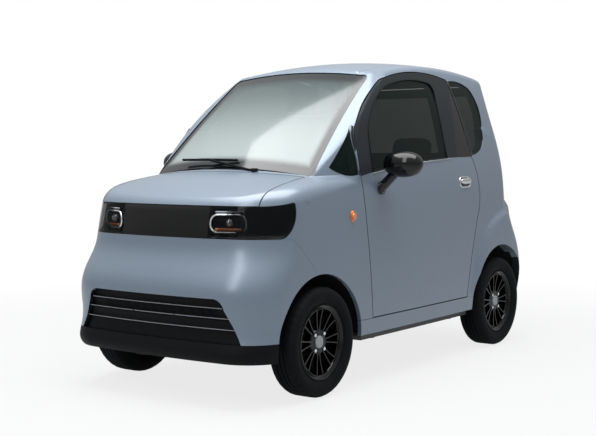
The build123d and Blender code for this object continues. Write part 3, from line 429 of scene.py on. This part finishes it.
def paint_lamp_ends(bm):
    """A tail lamp's end that wraps round the corner is body-coloured."""
    for y in (-LAMP_RED_HALF, LAMP_RED_HALF):
        cut(bm, (0, y, 0), (0, 1, 0))
    for face in bm.faces:
        if abs(face.calc_center_median().y) > LAMP_RED_HALF:
            face.material_index = 1


GLOSS_FOOT = Vector((-0.520, 0.0, 1.088))
GLOSS_TOP = Vector((-0.592, 0.0, 1.505))


def split_frame(bm):
    """The rear of a door's frame is gloss black, behind a line up the pillar."""
    along = GLOSS_TOP - GLOSS_FOOT
    across = Vector((along.z, 0.0, -along.x)).normalized()
    cut(bm, GLOSS_FOOT, across)
    for face in bm.faces:
        if (face.calc_center_median() - GLOSS_FOOT).dot(across) < 0:
            face.material_index = 1


SECOND_FINISH = {"door_frame_left": PIANO, "door_frame_right": PIANO, "tail_lamps": PAINT}
NODE_SMOOTH_DEGREES = 30.0


def merged_copy(name, finish):
    """A welded, smooth copy of a CAD node that stands for it."""
    bm = node_mesh(name)
    if name.startswith("door_frame"):
        split_frame(bm)
    elif name == "tail_lamps":
        paint_lamp_ends(bm)
    elif finish is PAINT:
        line_inside(bm)
    piece = solid_object("smooth_" + name, bm, finish, NODE_SMOOTH_DEGREES)
    piece.data.materials.append(SECOND_FINISH.get(name, CABIN))
    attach(piece, body_of_node(name))
    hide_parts(name)


def dress_nodes():
    for name, finish in FINISH.items():
        merged_copy(name, finish)


# ------------------------------------------------------------------ paths
def caster(names):
    """A tree for finding the surface of some CAD nodes by a ray."""
    points = []
    faces = []
    for name in names:
        mesh = NODES[name].data
        start = len(points)
        points += [v.co.copy() for v in mesh.vertices]
        faces += [[start + i for i in f.vertices] for f in mesh.polygons]
    return BVHTree.FromPolygons(points, faces)


SIDE = caster(["door_left", "door_frame_left", "door_glass_left", "body_side_left",
               "fender_left", "quarter_glass"])
NOSE = caster(["grille", "lamp_panel"])
RAY_START_Y = 1.2
RAY_START_X = 2.0
RAY_STEPS = (0.0, 0.004, -0.004, 0.008, -0.008)
GAP_STEP = 0.004


def on_side(x, z, lift=0.0):
    """The point of the left side at x and z, lifted off it; rays beside it span the shut lines."""
    best = None
    for step in RAY_STEPS:
        hit, _, _, _ = SIDE.ray_cast(Vector((x + step, RAY_START_Y, z)), Vector((0, -1, 0)))
        if hit and (best is None or hit.y > best + GAP_STEP):
            best = hit.y
    return Vector((x, best + lift, z))


def arc(start, middle, end, steps):
    """Points on the arc through three points of a plane."""
    ax, ay = middle[0] - start[0], middle[1] - start[1]
    bx, by = end[0] - start[0], end[1] - start[1]
    d = 2 * (ax * by - ay * bx)
    aa = ax * ax + ay * ay
    bb = bx * bx + by * by
    cx = start[0] + (by * aa - ay * bb) / d
    cy = start[1] + (ax * bb - bx * aa) / d
    first = math.atan2(start[1] - cy, start[0] - cx)
    sweep = math.atan2(end[1] - cy, end[0] - cx) - first
    sweep = (sweep + math.pi) % (2 * math.pi) - math.pi
    r = math.hypot(start[0] - cx, start[1] - cy)
    turns = [first + sweep * i / steps for i in range(steps + 1)]
    return [(cx + r * math.cos(turn), cy + r * math.sin(turn)) for turn in turns]


def straight(start, end, steps):
    """Evenly spaced points from one place to another."""
    return [tuple(a + (b - a) * i / steps for a, b in zip(start, end)) for i in range(steps + 1)]


def tube(name, points, radius, finish, body, closed=False):
    """A round bead along some points."""
    data = bpy.data.curves.new(name, "CURVE")
    data.dimensions = "3D"
    data.bevel_depth = radius
    data.bevel_resolution = 3
    data.use_fill_caps = True
    spline = data.splines.new("POLY")
    spline.points.add(len(points) - 1)
    for target, point in zip(spline.points, points):
        target.co = (*point, 1.0)
    spline.use_cyclic_u = closed
    carrier = link(bpy.data.objects.new(name + "_path", data))
    shaped = carrier.evaluated_get(bpy.context.evaluated_depsgraph_get())
    mesh = bpy.data.meshes.new_from_object(shaped)
    bpy.data.objects.remove(carrier)
    mesh.materials.clear()
    mesh.materials.append(finish)
    for face in mesh.polygons:
        face.use_smooth = True
    mesh.name = name
    piece = link(bpy.data.objects.new(name, mesh))
    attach(piece, body)
    return piece


def band(name, left, right, thick, finish, body):
    """A thin plate between two rows of points."""
    bm = bmesh.new()
    rows = [[bm.verts.new(p) for p in row] for row in (left, right)]
    for i in range(len(left) - 1):
        bm.faces.new((rows[0][i], rows[0][i + 1], rows[1][i + 1], rows[1][i]))
    bmesh.ops.recalc_face_normals(bm, faces=bm.faces)
    piece = solid_object(name, bm, finish)
    thicken(piece, thick)
    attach(piece, body)


# ---------------------------------------------------------- window trims
# The door glass's outline as (x, z): along the belt, up the pillar and back down the arch.
WINDOW = (arc((0.352, 1.021), (-0.020, 1.060), (-0.408, 1.084), 24)
          + [(-0.404, 1.436)] + arc((-0.404, 1.436), (-0.390, 1.471), (-0.355, 1.487), 6)[1:]
          + arc((-0.355, 1.487), (-0.180, 1.495), (0.0, 1.472), 12)[1:]
          + arc((0.0, 1.472), (0.210, 1.383), (0.335, 1.225), 16)[1:]
          + arc((0.335, 1.225), (0.348, 1.120), (0.352, 1.021), 10)[1:-1])
SEAL_RADIUS = 0.0035
BELT = arc((0.356, 1.021), (-0.020, 1.060), (-0.430, 1.085), 30)
BELT_DROP = 0.007
BELT_RADIUS = 0.0045
PILLAR_LIFT = 0.0006
PILLAR_THICKNESS = 0.0010

# Each plate's two edges as (x, z): the strip of body beside a quarter glass.
FRONT_PILLAR = ([(0.4675, 1.006)] + arc((0.468, 1.140), (0.462, 1.196), (0.439, 1.243), 10),
                [(0.4765, 1.011)] + arc((0.4785, 1.140), (0.4725, 1.199), (0.449, 1.248), 10))
REAR_PILLAR = (straight((-0.6935, 1.092), (-0.5885, 1.509), 12),
               straight((-0.7045, 1.097), (-0.6025, 1.507), 12))


def add_window_trims():
    for side, sign in SIDES:
        door = "door_" + side
        seal = [to_side(on_side(x, z), sign) for x, z in WINDOW]
        tube("window_seal_" + side, seal, SEAL_RADIUS, SEAL, door, closed=True)
        belt = [to_side(on_side(x, z - BELT_DROP), sign) for x, z in BELT]
        tube("belt_strip_" + side, belt, BELT_RADIUS, ANODISED, door)
        for end, edges in (("front", FRONT_PILLAR), ("rear", REAR_PILLAR)):
            rows = [[to_side(on_side(x, z, PILLAR_LIFT), sign) for x, z in edge] for edge in edges]
            band(end + "_pillar_plate_" + side, *rows, PILLAR_THICKNESS, PIANO, "body")


# ----------------------------------------------------------------- wheels
TYRE_SEGMENTS = 210
SHOULDER_BLOCKS = 42
GROOVE_DEPTH = 0.006
BLOCK_GAP_DEPTH = 0.003
RIM_SEGMENTS = 96
DISC_SEGMENTS = 48
LATHE_WELD = 0.00001

# Sections of the turned pieces as (radius, y), with y outwards from the wheel's middle.
TYRE_WALL = [(0.1525, 0.050), (0.171, 0.0500), (0.175, 0.0545), (0.180, 0.0570), (0.182, 0.0610),
             (0.192, 0.0670), (0.204, 0.0712), (0.216, 0.0725), (0.228, 0.0708), (0.238, 0.0665),
             (0.245, 0.0605), (0.2495, 0.0530)]
BARREL = [(0.1455, -0.056), (0.170, -0.057), (0.1715, -0.0545), (0.1700, -0.0510), (0.1517, -0.0505),
          (0.1517, 0.0505), (0.1700, 0.0510), (0.1725, 0.0535), (0.1720, 0.0575), (0.1680, 0.0585),
          (0.1560, 0.0520), (0.1500, 0.0440), (0.1455, 0.0300)]
HUB = [(0.0185, -0.006), (0.058, -0.006), (0.060, 0.010), (0.060, 0.030), (0.056, 0.035),
       (0.032, 0.037), (0.030, 0.0335), (0.0185, 0.0335)]
# A near-black disc behind the spokes: a sheet of painted shade for the dark inside of the wheel.
SHADE_DISC = [(0.057, -0.004), (0.1460, -0.008), (0.1460, -0.006), (0.057, -0.002)]
HUB_CAP = [(0.0, 0.0345), (0.029, 0.0345), (0.029, 0.041), (0.026, 0.0435), (0.0, 0.0455)]

# Ribs of the tread: outer y, inner y.
RIBS = ((0.046, 0.026), (0.019, 0.0035))
RIB_EDGE_RADIUS = 0.2525
RIB_RADIUS = 0.2532
GROOVE_SLOPE = 0.0008
GROOVE_WIDTH = 0.0062
BLOCKS_RADIUS = 0.240
BLOCKS_Y = (0.034, 0.064)


def tyre_profile():
    """The tyre's section, from one bead to the other."""
    crown = []
    for y0, y1 in RIBS:
        crown += [(RIB_EDGE_RADIUS, y0), (RIB_RADIUS, y1)]
        crown += [(RIB_RADIUS - GROOVE_DEPTH, y1 - GROOVE_SLOPE)]
        crown += [(RIB_RADIUS - GROOVE_DEPTH, max(y1 - GROOVE_WIDTH, 0.0))]
    half = TYRE_WALL + crown
    return half + [(r, -y) for r, y in reversed(half)]


def lathe(profile, segments, closed, dip=None):
    """Turns a section about Y; dip may lower the radius of a point at a step."""
    bm = bmesh.new()
    rings = []
    for k in range(segments):
        a = 2 * math.pi * k / segments
        ring = []
        for r, y in profile:
            radius = r - (dip(r, y, k) if dip else 0.0)
            ring.append(bm.verts.new((radius * math.cos(a), y, radius * math.sin(a))))
        rings.append(ring)
    n = len(profile)
    for k in range(segments):
        one = rings[k]
        two = rings[(k + 1) % segments]
        for i in range(n if closed else n - 1):
            j = (i + 1) % n
            bm.faces.new((one[i], one[j], two[j], two[i]))
    bmesh.ops.remove_doubles(bm, verts=bm.verts, dist=LATHE_WELD)
    bmesh.ops.recalc_face_normals(bm, faces=bm.faces)
    return bm


def block_gap(r, y, k):
    """Every fifth step is a gap between the shoulder's tread blocks."""
    in_gap = k % (TYRE_SEGMENTS // SHOULDER_BLOCKS) == 0
    on_blocks = r > BLOCKS_RADIUS and BLOCKS_Y[0] < abs(y) < BLOCKS_Y[1]
    return BLOCK_GAP_DEPTH if in_gap and on_blocks else 0.0


def place_wheel(bm, x, sign):
    """Moves a wheel piece to its axle; the right-hand one is turned half round."""
    if sign < 0:
        half_turn = Matrix.Rotation(math.pi, 3, "Z")
        bmesh.ops.rotate(bm, verts=bm.verts, cent=(0, 0, 0), matrix=half_turn)
    bmesh.ops.translate(bm, verts=bm.verts, vec=(x, sign * WHEEL_Y, TYRE_RADIUS))


SPOKE_PAIRS = 8
SPOKE_SPLAY = math.radians(7.0)
SPOKE_LEAN = 1.25
SPOKE_FACE_SHARE = 0.55

# Stations of a spoke: radius, share of the way to the outer angle, half width, inner y, outer y.
SPOKE_STATIONS = ((0.040, 0.0, 0.0065, 0.018, 0.036),
                  (0.100, 0.5, 0.0050, 0.022, 0.038),
                  (0.149, 1.0, 0.0070, 0.026, 0.044))
NUT_CIRCLE = 0.050
NUTS = 4
NUT_RADIUS = 0.0085
NUT_HEIGHT = 0.012
NUT_Y = 0.039


def spoke(bm, angle_in, angle_out):
    """A tapered bar from the hub to the rim's barrel."""
    corners = []
    for r, share, wide, y0, y1 in SPOKE_STATIONS:
        a = angle_in + share * (angle_out - angle_in)
        out = Vector((math.cos(a), 0, math.sin(a)))
        side = Vector((-math.sin(a), 0, math.cos(a)))
        loop = []
        face = SPOKE_FACE_SHARE
        for s, y, narrow in ((-1, y0, 1.0), (1, y0, 1.0), (1, y1, face), (-1, y1, face)):
            loop.append(bm.verts.new(out * r + side * s * wide * narrow + Vector((0, y, 0))))
        corners.append(loop)
    for one, two in zip(corners, corners[1:]):
        for i in range(4):
            bm.faces.new((one[i], one[(i + 1) % 4], two[(i + 1) % 4], two[i]))
    bm.faces.new(corners[0])
    bm.faces.new(corners[-1])


def rim_mesh():
    """Barrel, lips, eight pairs of spokes and the hub."""
    bm = lathe(BARREL, RIM_SEGMENTS, True)
    part = lathe(HUB, RIM_SEGMENTS, True)
    for i in range(SPOKE_PAIRS):
        middle = 2 * math.pi * i / SPOKE_PAIRS
        for s in (-1, 1):
            spoke(part, middle + s * SPOKE_SPLAY, middle + s * SPOKE_SPLAY * SPOKE_LEAN)
    extra = bpy.data.meshes.new("rim_part")
    bmesh.ops.recalc_face_normals(part, faces=part.faces)
    part.to_mesh(extra)
    part.free()
    bm.from_mesh(extra)
    bpy.data.meshes.remove(extra)
    return bm


def nut_mesh():
    bm = bmesh.new()
    for i in range(NUTS):
        a = 2 * math.pi * (i + 0.5) / NUTS
        turn = Matrix.Translation((NUT_CIRCLE * math.cos(a), NUT_Y, NUT_CIRCLE * math.sin(a)))
        turn = turn @ Matrix.Rotation(math.pi / 2, 4, "X")
        bmesh.ops.create_cone(bm, cap_ends=True, segments=6, radius1=NUT_RADIUS,
                              radius2=NUT_RADIUS, depth=NUT_HEIGHT, matrix=turn)
    bmesh.ops.recalc_face_normals(bm, faces=bm.faces)
    return bm


def add_wheels():
    for end, x in (("front", FRONT_AXLE_X), ("rear", REAR_AXLE_X)):
        for side, sign in SIDES:
            tag = end + "_" + side
            tread = lathe(tyre_profile(), TYRE_SEGMENTS, False, block_gap)
            # Name, mesh, finish, and the angle in degrees up to which edges are smooth.
            makes = (("tread_", tread, RUBBER, 32.0),
                     ("spokes_", rim_mesh(), ALLOY, 30.0),
                     ("nuts_", nut_mesh(), CHROME, 20.0),
                     # The shade disc is painted shade: a dark sheet behind the spokes.
                     ("shade_disc_", lathe(SHADE_DISC, DISC_SEGMENTS, True), LINER, 30.0),
                     ("cap_", lathe(HUB_CAP, DISC_SEGMENTS, False), CAP, 30.0))
            for name, bm, finish, angle in makes:
                place_wheel(bm, x, sign)
                piece = solid_object(name + tag, bm, finish, angle)
                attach(piece, "wheel_" + tag)
                if name == "tread_":
                    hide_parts("tyre_" + tag)
                if name == "spokes_":
                    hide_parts("rim_" + tag)


# ------------------------------------------------------------------ lamps
LAMP_CENTRE = Vector((1.174, 0.352, 0.806))
LAMP_TURN = math.radians(20.0)
BEZEL_HALF = (0.084, 0.040)
BEZEL_ROUND = 0.036
BEZEL_RADIUS = 0.0045
BEZEL_OUT = 0.004
TURN_HALF = 0.062
TURN_UP = -0.027
TURN_RADIUS = 0.0085
LINE_HALF = 0.060
LINE_UP = 0.052
LINE_RADIUS = 0.003
PROJECTOR = (0.004, 0.004, -0.008)
PROJECTOR_RADIUS = 0.021


def rounded_loop(half_w, half_h, r, steps=8):
    """Outline of a rounded rectangle."""
    loop = []
    for cx, cy, start in ((half_w - r, half_h - r, 0.0), (r - half_w, half_h - r, 0.5),
                          (r - half_w, r - half_h, 1.0), (half_w - r, r - half_h, 1.5)):
        for i in range(steps + 1):
            a = math.pi * (start + 0.5 * i / steps)
            loop.append((cx + r * math.cos(a), cy + r * math.sin(a)))
    return loop


def lamp_place(sign, across, up, out):
    """A point of a headlamp's own frame: across it, up, and out of it."""
    a = LAMP_TURN
    right = Vector((-math.sin(a), math.cos(a), 0))
    normal = Vector((math.cos(a), math.sin(a), 0))
    point = LAMP_CENTRE + right * across + normal * out + Vector((0, 0, up))
    return to_side(point, sign)


def lamp_row(sign, half, up, out, steps):
    """Evenly spaced points across a headlamp."""
    spots = [-half + 2 * half * i / steps for i in range(steps + 1)]
    return [lamp_place(sign, across, up, out) for across in spots]


def add_headlamps():
    for side, sign in SIDES:
        outline = rounded_loop(*BEZEL_HALF, BEZEL_ROUND)
        ring = [lamp_place(sign, u, v, BEZEL_OUT) for u, v in outline]
        tube("bezel_" + side, ring, BEZEL_RADIUS, CHROME, "body", closed=True)
        strip = lamp_row(sign, TURN_HALF, TURN_UP, 0.0, 10)
        tube("turn_strip_" + side, strip, TURN_RADIUS, AMBER, "body")
        line = lamp_row(sign, LINE_HALF, LINE_UP, BEZEL_OUT, 12)
        tube("light_line_" + side, line, LINE_RADIUS, CAP, "body")
        bm = bmesh.new()
        spot = Matrix.Translation(lamp_place(sign, *PROJECTOR))
        bmesh.ops.create_uvsphere(bm, u_segments=32, v_segments=16, radius=PROJECTOR_RADIUS,
                                  matrix=spot)
        lens = solid_object("projector_" + side, bm, CHROME)
        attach(lens, "body")


# ----------------------------------------------------------------- grille
# Slats: z, half length. The middle one is broken twice.
SLATS = ((0.443, 0.398), (0.398, 0.428), (0.349, 0.455))
SLAT_RADIUS = 0.0018
SLAT_BREAK = 0.130
SLAT_BREAK_WIDTH = 0.008
SLAT_LIFT = 0.0005
SLAT_STEPS = 32


def add_grille_slats():
    for index, (z, half) in enumerate(SLATS):
        runs = [(-half, half)]
        if index == 1:
            inner = SLAT_BREAK - SLAT_BREAK_WIDTH
            runs = [(-half, -SLAT_BREAK), (-inner, inner), (SLAT_BREAK, half)]
        for part, (start, end) in enumerate(runs):
            points = []
            for i in range(SLAT_STEPS + 1):
                y = start + (end - start) * i / SLAT_STEPS
                hit, _, _, _ = NOSE.ray_cast(Vector((RAY_START_X, y, z)), Vector((-1, 0, 0)))
                points.append(hit + Vector((SLAT_LIFT, 0, 0)))
            tube("slat_%d_%d" % (index + 1, part + 1), points, SLAT_RADIUS, ANODISED, "body")


# --------------------------------------------- mirrors, handles, indicators
MIRROR_CENTRE = (0.302, 0.722, 1.060)
MIRROR_HALF = (0.064, 0.105, 0.064)
MIRROR_BACK_X = 0.266
MIRROR_STALK = ((0.300, 0.592, 0.940), (0.300, 0.690, 1.030))
MIRROR_STALK_RADIUS = 0.0235
MIRROR_FOOT_TOP_Z = 0.970
MIRROR_ROUNDNESS = 2.15
MIRROR_SMOOTH_DEGREES = 40.0
MIRROR_GLASS = (0.076, 0.046, 0.042)
MIRROR_GLASS_GAP = 0.0006
MIRROR_GLASS_THICKNESS = 0.0015
HANDLE_X = -0.570
HANDLE_Z = 0.950
RECESS_HALF = (0.058, 0.027)
RECESS_LIFT = 0.001
RECESS_THICKNESS = 0.002
RECESS_ROUND_SHARE = 0.8
HANDLE_RIM_RADIUS = 0.0045
GRIP_HALF = (0.055, 0.010, 0.016)
GRIP_ROUNDNESS = 3.0
GRIP_RISE = 0.006
GRIP_LIFT = 0.009
INDICATOR_X = 0.560
INDICATOR_Z = 0.816
INDICATOR_HALF = (0.017, 0.011, 0.028)
INDICATOR_ROUNDNESS = 2.4
INDICATOR_LIFT = -0.002
BLOB_CUTS = 15
BLOB_SMOOTH_DEGREES = 50.0


def blob(centre, half, power):
    """A rounded block of given half sizes at a place."""
    bm = rounded_block(BLOB_CUTS, power)
    for v in bm.verts:
        v.co = Vector([c * h for c, h in zip(v.co, half)]) + Vector(centre)
    return bm


def mirror_head(sign):
    """The rounded shell, cut flat where its glass sits."""
    bm = blob(to_side(MIRROR_CENTRE, sign), MIRROR_HALF, MIRROR_ROUNDNESS)
    cut(bm, (MIRROR_BACK_X, 0, 0), (-1, 0, 0), clear=True)
    bmesh.ops.holes_fill(bm, edges=[e for e in bm.edges if e.is_boundary], sides=0)
    bmesh.ops.recalc_face_normals(bm, faces=bm.faces)
    return bm


def mirror_sheet(sign):
    """The outline of the mirror's glass, as one face."""
    _, y, z = MIRROR_CENTRE
    x = MIRROR_BACK_X - MIRROR_GLASS_GAP
    bm = bmesh.new()
    bm.faces.new([bm.verts.new((x, sign * y + u, z + v)) for u, v in rounded_loop(*MIRROR_GLASS)])
    return bm


def add_mirrors():
    for side, sign in SIDES:
        door = "door_" + side
        shell = solid_object("mirror_head_" + side, mirror_head(sign), PIANO,
                             MIRROR_SMOOTH_DEGREES)
        ends = [to_side(p, sign) for p in MIRROR_STALK]
        stalk = tube("mirror_stalk_" + side, straight(*ends, 8), MIRROR_STALK_RADIUS, PIANO, door)
        foot = node_mesh("mirror_" + side)
        cut(foot, (0, 0, MIRROR_FOOT_TOP_Z), (0, 0, 1), clear=True)
        base = solid_object("mirror_foot_" + side, foot, PIANO)
        for piece in (shell, stalk, base):
            if piece is not stalk:
                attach(piece, door)
            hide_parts("mirror_" + side)
        glass = solid_object("mirror_glass_" + side, mirror_sheet(sign), MIRROR)
        thicken(glass, MIRROR_GLASS_THICKNESS)
        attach(glass, door)


def add_recess(side, sign):
    """A rounded plate that lies on the door's skin; gives back its outline."""
    bm = bmesh.new()
    outline = rounded_loop(*RECESS_HALF, RECESS_HALF[1] * RECESS_ROUND_SHARE)
    ring = [to_side(on_side(HANDLE_X + u, HANDLE_Z + v, RECESS_LIFT), sign) for u, v in outline]
    verts = [bm.verts.new(p) for p in ring]
    centre = bm.verts.new(to_side(on_side(HANDLE_X, HANDLE_Z, RECESS_LIFT), sign))
    for i in range(len(verts)):
        bm.faces.new((centre, verts[i], verts[(i + 1) % len(verts)]))
    bmesh.ops.recalc_face_normals(bm, faces=bm.faces)
    piece = solid_object("handle_recess_" + side, bm, PIANO)
    thicken(piece, RECESS_THICKNESS)
    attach(piece, "door_" + side)
    return ring


def add_handles():
    for side, sign in SIDES:
        door = "door_" + side
        ring = add_recess(side, sign)
        rim = tube("handle_rim_" + side, ring, HANDLE_RIM_RADIUS, CHROME, door, closed=True)
        place = to_side(on_side(HANDLE_X, HANDLE_Z + GRIP_RISE, GRIP_LIFT), sign)
        grip = solid_object("handle_grip_" + side, blob(place, GRIP_HALF, GRIP_ROUNDNESS),
                            CHROME, BLOB_SMOOTH_DEGREES)
        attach(grip, door)
        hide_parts("handle_" + side)
        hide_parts("handle_" + side)
        place = to_side(on_side(INDICATOR_X, INDICATOR_Z, INDICATOR_LIFT), sign)
        lens = solid_object("indicator_lens_" + side,
                            blob(place, INDICATOR_HALF, INDICATOR_ROUNDNESS), AMBER,
                            BLOB_SMOOTH_DEGREES)
        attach(lens, "body")


# ------------------------------------------------------------------- seats
PAD_ROUNDNESS = 5.0
PAD_CROWN = 0.10
CHANNEL_AT = 0.55
CHANNEL_WIDTH = 0.035
CHANNEL_DEPTH = 0.06
PAD_VOXEL = 0.006
PAD_PRESSURE = 4.0
PAD_FRAMES = 20
PAD_SWELL_CAP = 0.008
PAD_CUTS = 23
PAD_SMOOTH_DEGREES = 60.0
SEAT_Y = 0.265
BACK_TILT = math.radians(76)

# Pads of the left seat: name, centre, size, tilt.
PADS = (("seat_cushion_", (-0.150, SEAT_Y, 0.456), (0.440, 0.420, 0.096), 0.0),
        ("seat_back_", (-0.455, SEAT_Y, 0.760), (0.540, 0.410, 0.088), BACK_TILT),
        ("head_rest_", (-0.545, SEAT_Y, 1.112), (0.164, 0.238, 0.066), BACK_TILT))


def pad_mesh(centre, size, tilt):
    """A crowned, stitched cushion: a rounded block whose broad faces swell."""
    bm = rounded_block(PAD_CUTS, PAD_ROUNDNESS)
    turn = Matrix.Rotation(tilt, 3, "Y")
    for v in bm.verts:
        p = v.co.copy()
        crown = 1 + PAD_CROWN * (1 - p.x * p.x) * (1 - p.y * p.y)
        off_channel = (abs(p.y) - CHANNEL_AT) / CHANNEL_WIDTH
        p.z *= crown - math.exp(-off_channel ** 2) * CHANNEL_DEPTH
        v.co = Vector(centre) + turn @ Vector([c * full / 2 for c, full in zip(p, size)])
    return bm


def bake_modifiers(piece):
    """Replaces a piece's mesh by what its modifiers make of it."""
    shaped = piece.evaluated_get(bpy.context.evaluated_depsgraph_get())
    mesh = bpy.data.meshes.new_from_object(shaped)
    piece.modifiers.clear()
    piece.data = mesh


def swell(piece):
    """Remeshes a pad, lets cloth pressure fill it and keeps the result in its mesh."""
    remesh = piece.modifiers.new("remesh", "REMESH")
    remesh.mode = "VOXEL"
    remesh.voxel_size = PAD_VOXEL
    remesh.use_smooth_shade = True
    bake_modifiers(piece)
    start = [v.co.copy() for v in piece.data.vertices]
    cloth = piece.modifiers.new("cloth", "CLOTH")
    cloth.settings.use_pressure = True
    cloth.settings.uniform_pressure_force = PAD_PRESSURE
    cloth.settings.effector_weights.gravity = 0.0
    for frame_number in range(1, PAD_FRAMES + 1):
        bpy.context.scene.frame_set(frame_number)
    bake_modifiers(piece)
    bpy.context.scene.frame_set(1)
    for vertex, old in zip(piece.data.vertices, start):
        move = vertex.co - old
        if move.length > PAD_SWELL_CAP:
            vertex.co = old + move.normalized() * PAD_SWELL_CAP


def add_seats():
    for name, centre, size, tilt in PADS:
        left = solid_object(name + "left", pad_mesh(centre, size, tilt), CLOTH, PAD_SMOOTH_DEGREES)
        swell(left)
        bm = bmesh.new()
        bm.from_mesh(left.data)
        bmesh.ops.scale(bm, verts=bm.verts, vec=(1, -1, 1))
        bmesh.ops.reverse_faces(bm, faces=bm.faces)
        right = solid_object(name + "right", bm, CLOTH, PAD_SMOOTH_DEGREES)
        for piece in (left, right):
            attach(piece, "body")
            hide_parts("seats")


# ------------------------------------------------------------------ stage
GLOSSY_SHARE = 0.35
FLOOR_HALF = 30.0
FLOOR_NEAR = {"distance": 1.2, "bright": 0.80}
FLOOR_FAR = {"distance": 4.5, "bright": 1.0}
SKY_LOW = {"z": 0.05, "strength": 0.08}
SKY_HIGH = {"z": 0.75, "strength": 0.74}
LIGHT_AIM = Vector((0, 0, 0.6))

# Softboxes: name, place, size, power, and whether reflections show them.
LIGHTS = (("top_softbox", (0.6, 0.3, 4.2), (4.5, 3.0), 240.0, True),
          ("left_softbox", (0.0, 6.0, 4.2), (5.0, 1.4), 16.0, False),
          ("front_softbox", (4.4, 0.2, 4.0), (1.2, 4.2), 70.0, True),
          ("rear_softbox", (-6.0, -2.0, 3.8), (4.0, 1.6), 35.0, False))


def seen_share(tree):
    """How far a ray sees the plain backdrop: fully if direct, in part if mirrored."""
    light = node(tree, "ShaderNodeLightPath")
    glossy = node(tree, "ShaderNodeMath", {"operation": "MULTIPLY"},
                  i0=light.outputs["Is Glossy Ray"], i1=GLOSSY_SHARE)
    direct = node(tree, "ShaderNodeMath", {"operation": "MAXIMUM"},
                  i0=light.outputs["Is Camera Ray"], i1=light.outputs["Is Transmission Ray"])
    seen = node(tree, "ShaderNodeMath", {"operation": "MAXIMUM"}, i0=direct.outputs[0],
                i1=glossy.outputs[0])
    return seen.outputs[0]


def add_floor():
    """A pale floor that brightens away from the car until it meets the backdrop."""
    bm = bmesh.new()
    bmesh.ops.create_grid(bm, x_segments=1, y_segments=1, size=FLOOR_HALF)
    finish, tree, shader = material("pale_floor", "#b4b6b8", 0.75)
    glow = node(tree, "ShaderNodeEmission", Color=[1, 1, 1, 1], Strength=1.0)
    place = node(tree, "ShaderNodeTexCoord")
    away = node(tree, "ShaderNodeVectorMath", {"operation": "LENGTH"}, i0=place.outputs["Object"])
    bright = node(tree, "ShaderNodeMapRange", {"interpolation_type": "SMOOTHSTEP"},
                  Value=away.outputs["Value"],
                  From_Min=FLOOR_NEAR["distance"], From_Max=FLOOR_FAR["distance"],
                  To_Min=FLOOR_NEAR["bright"], To_Max=FLOOR_FAR["bright"])
    share = node(tree, "ShaderNodeMath", {"operation": "MULTIPLY"}, i0=seen_share(tree),
                 i1=bright.outputs["Result"])
    mix = node(tree, "ShaderNodeMixShader", i0=share.outputs[0], i1=shader.outputs["BSDF"],
               i2=glow.outputs["Emission"])
    tree.links.new(mix.outputs[0], tree.nodes["Material Output"].inputs["Surface"])
    solid_object("floor", bm, finish)


def add_backdrop():
    """White to the camera, and a dim sky that brightens upwards as a light."""
    world = bpy.data.worlds.new("studio")
    bpy.context.scene.world = world
    world.use_nodes = True
    tree = world.node_tree
    back = tree.nodes["Background"]
    back.inputs["Color"].default_value = (1, 1, 1, 1)
    place = node(tree, "ShaderNodeTexCoord")
    axes = node(tree, "ShaderNodeSeparateXYZ", i0=place.outputs["Generated"])
    sky = node(tree, "ShaderNodeMapRange", Value=axes.outputs["Z"],
               From_Min=SKY_LOW["z"], From_Max=SKY_HIGH["z"],
               To_Min=SKY_LOW["strength"], To_Max=SKY_HIGH["strength"])
    strength = node(tree, "ShaderNodeMix", Factor=seen_share(tree), i2=sky.outputs["Result"], i3=1.0)
    tree.links.new(strength.outputs[0], back.inputs["Strength"])


def add_lights():
    for name, place, size, power, mirrored in LIGHTS:
        data = bpy.data.lights.new(name, "AREA")
        data.shape = "RECTANGLE"
        data.size, data.size_y = size
        data.energy = power
        lamp = bpy.data.objects.new(name, data)
        turn = (LIGHT_AIM - Vector(place)).to_track_quat("-Z", "Y").to_matrix().to_4x4()
        lamp.matrix_world = Matrix.Translation(Vector(place)) @ turn
        lamp.visible_glossy = mirrored
        link(lamp)


def add_stage():
    bpy.context.scene.view_settings.view_transform = "Standard"
    add_floor()
    add_backdrop()
    add_lights()


add_camera()
dress_nodes()
add_window_trims()
add_wheels()
add_headlamps()
add_grille_slats()
add_mirrors()
add_handles()
add_seats()
add_stage()
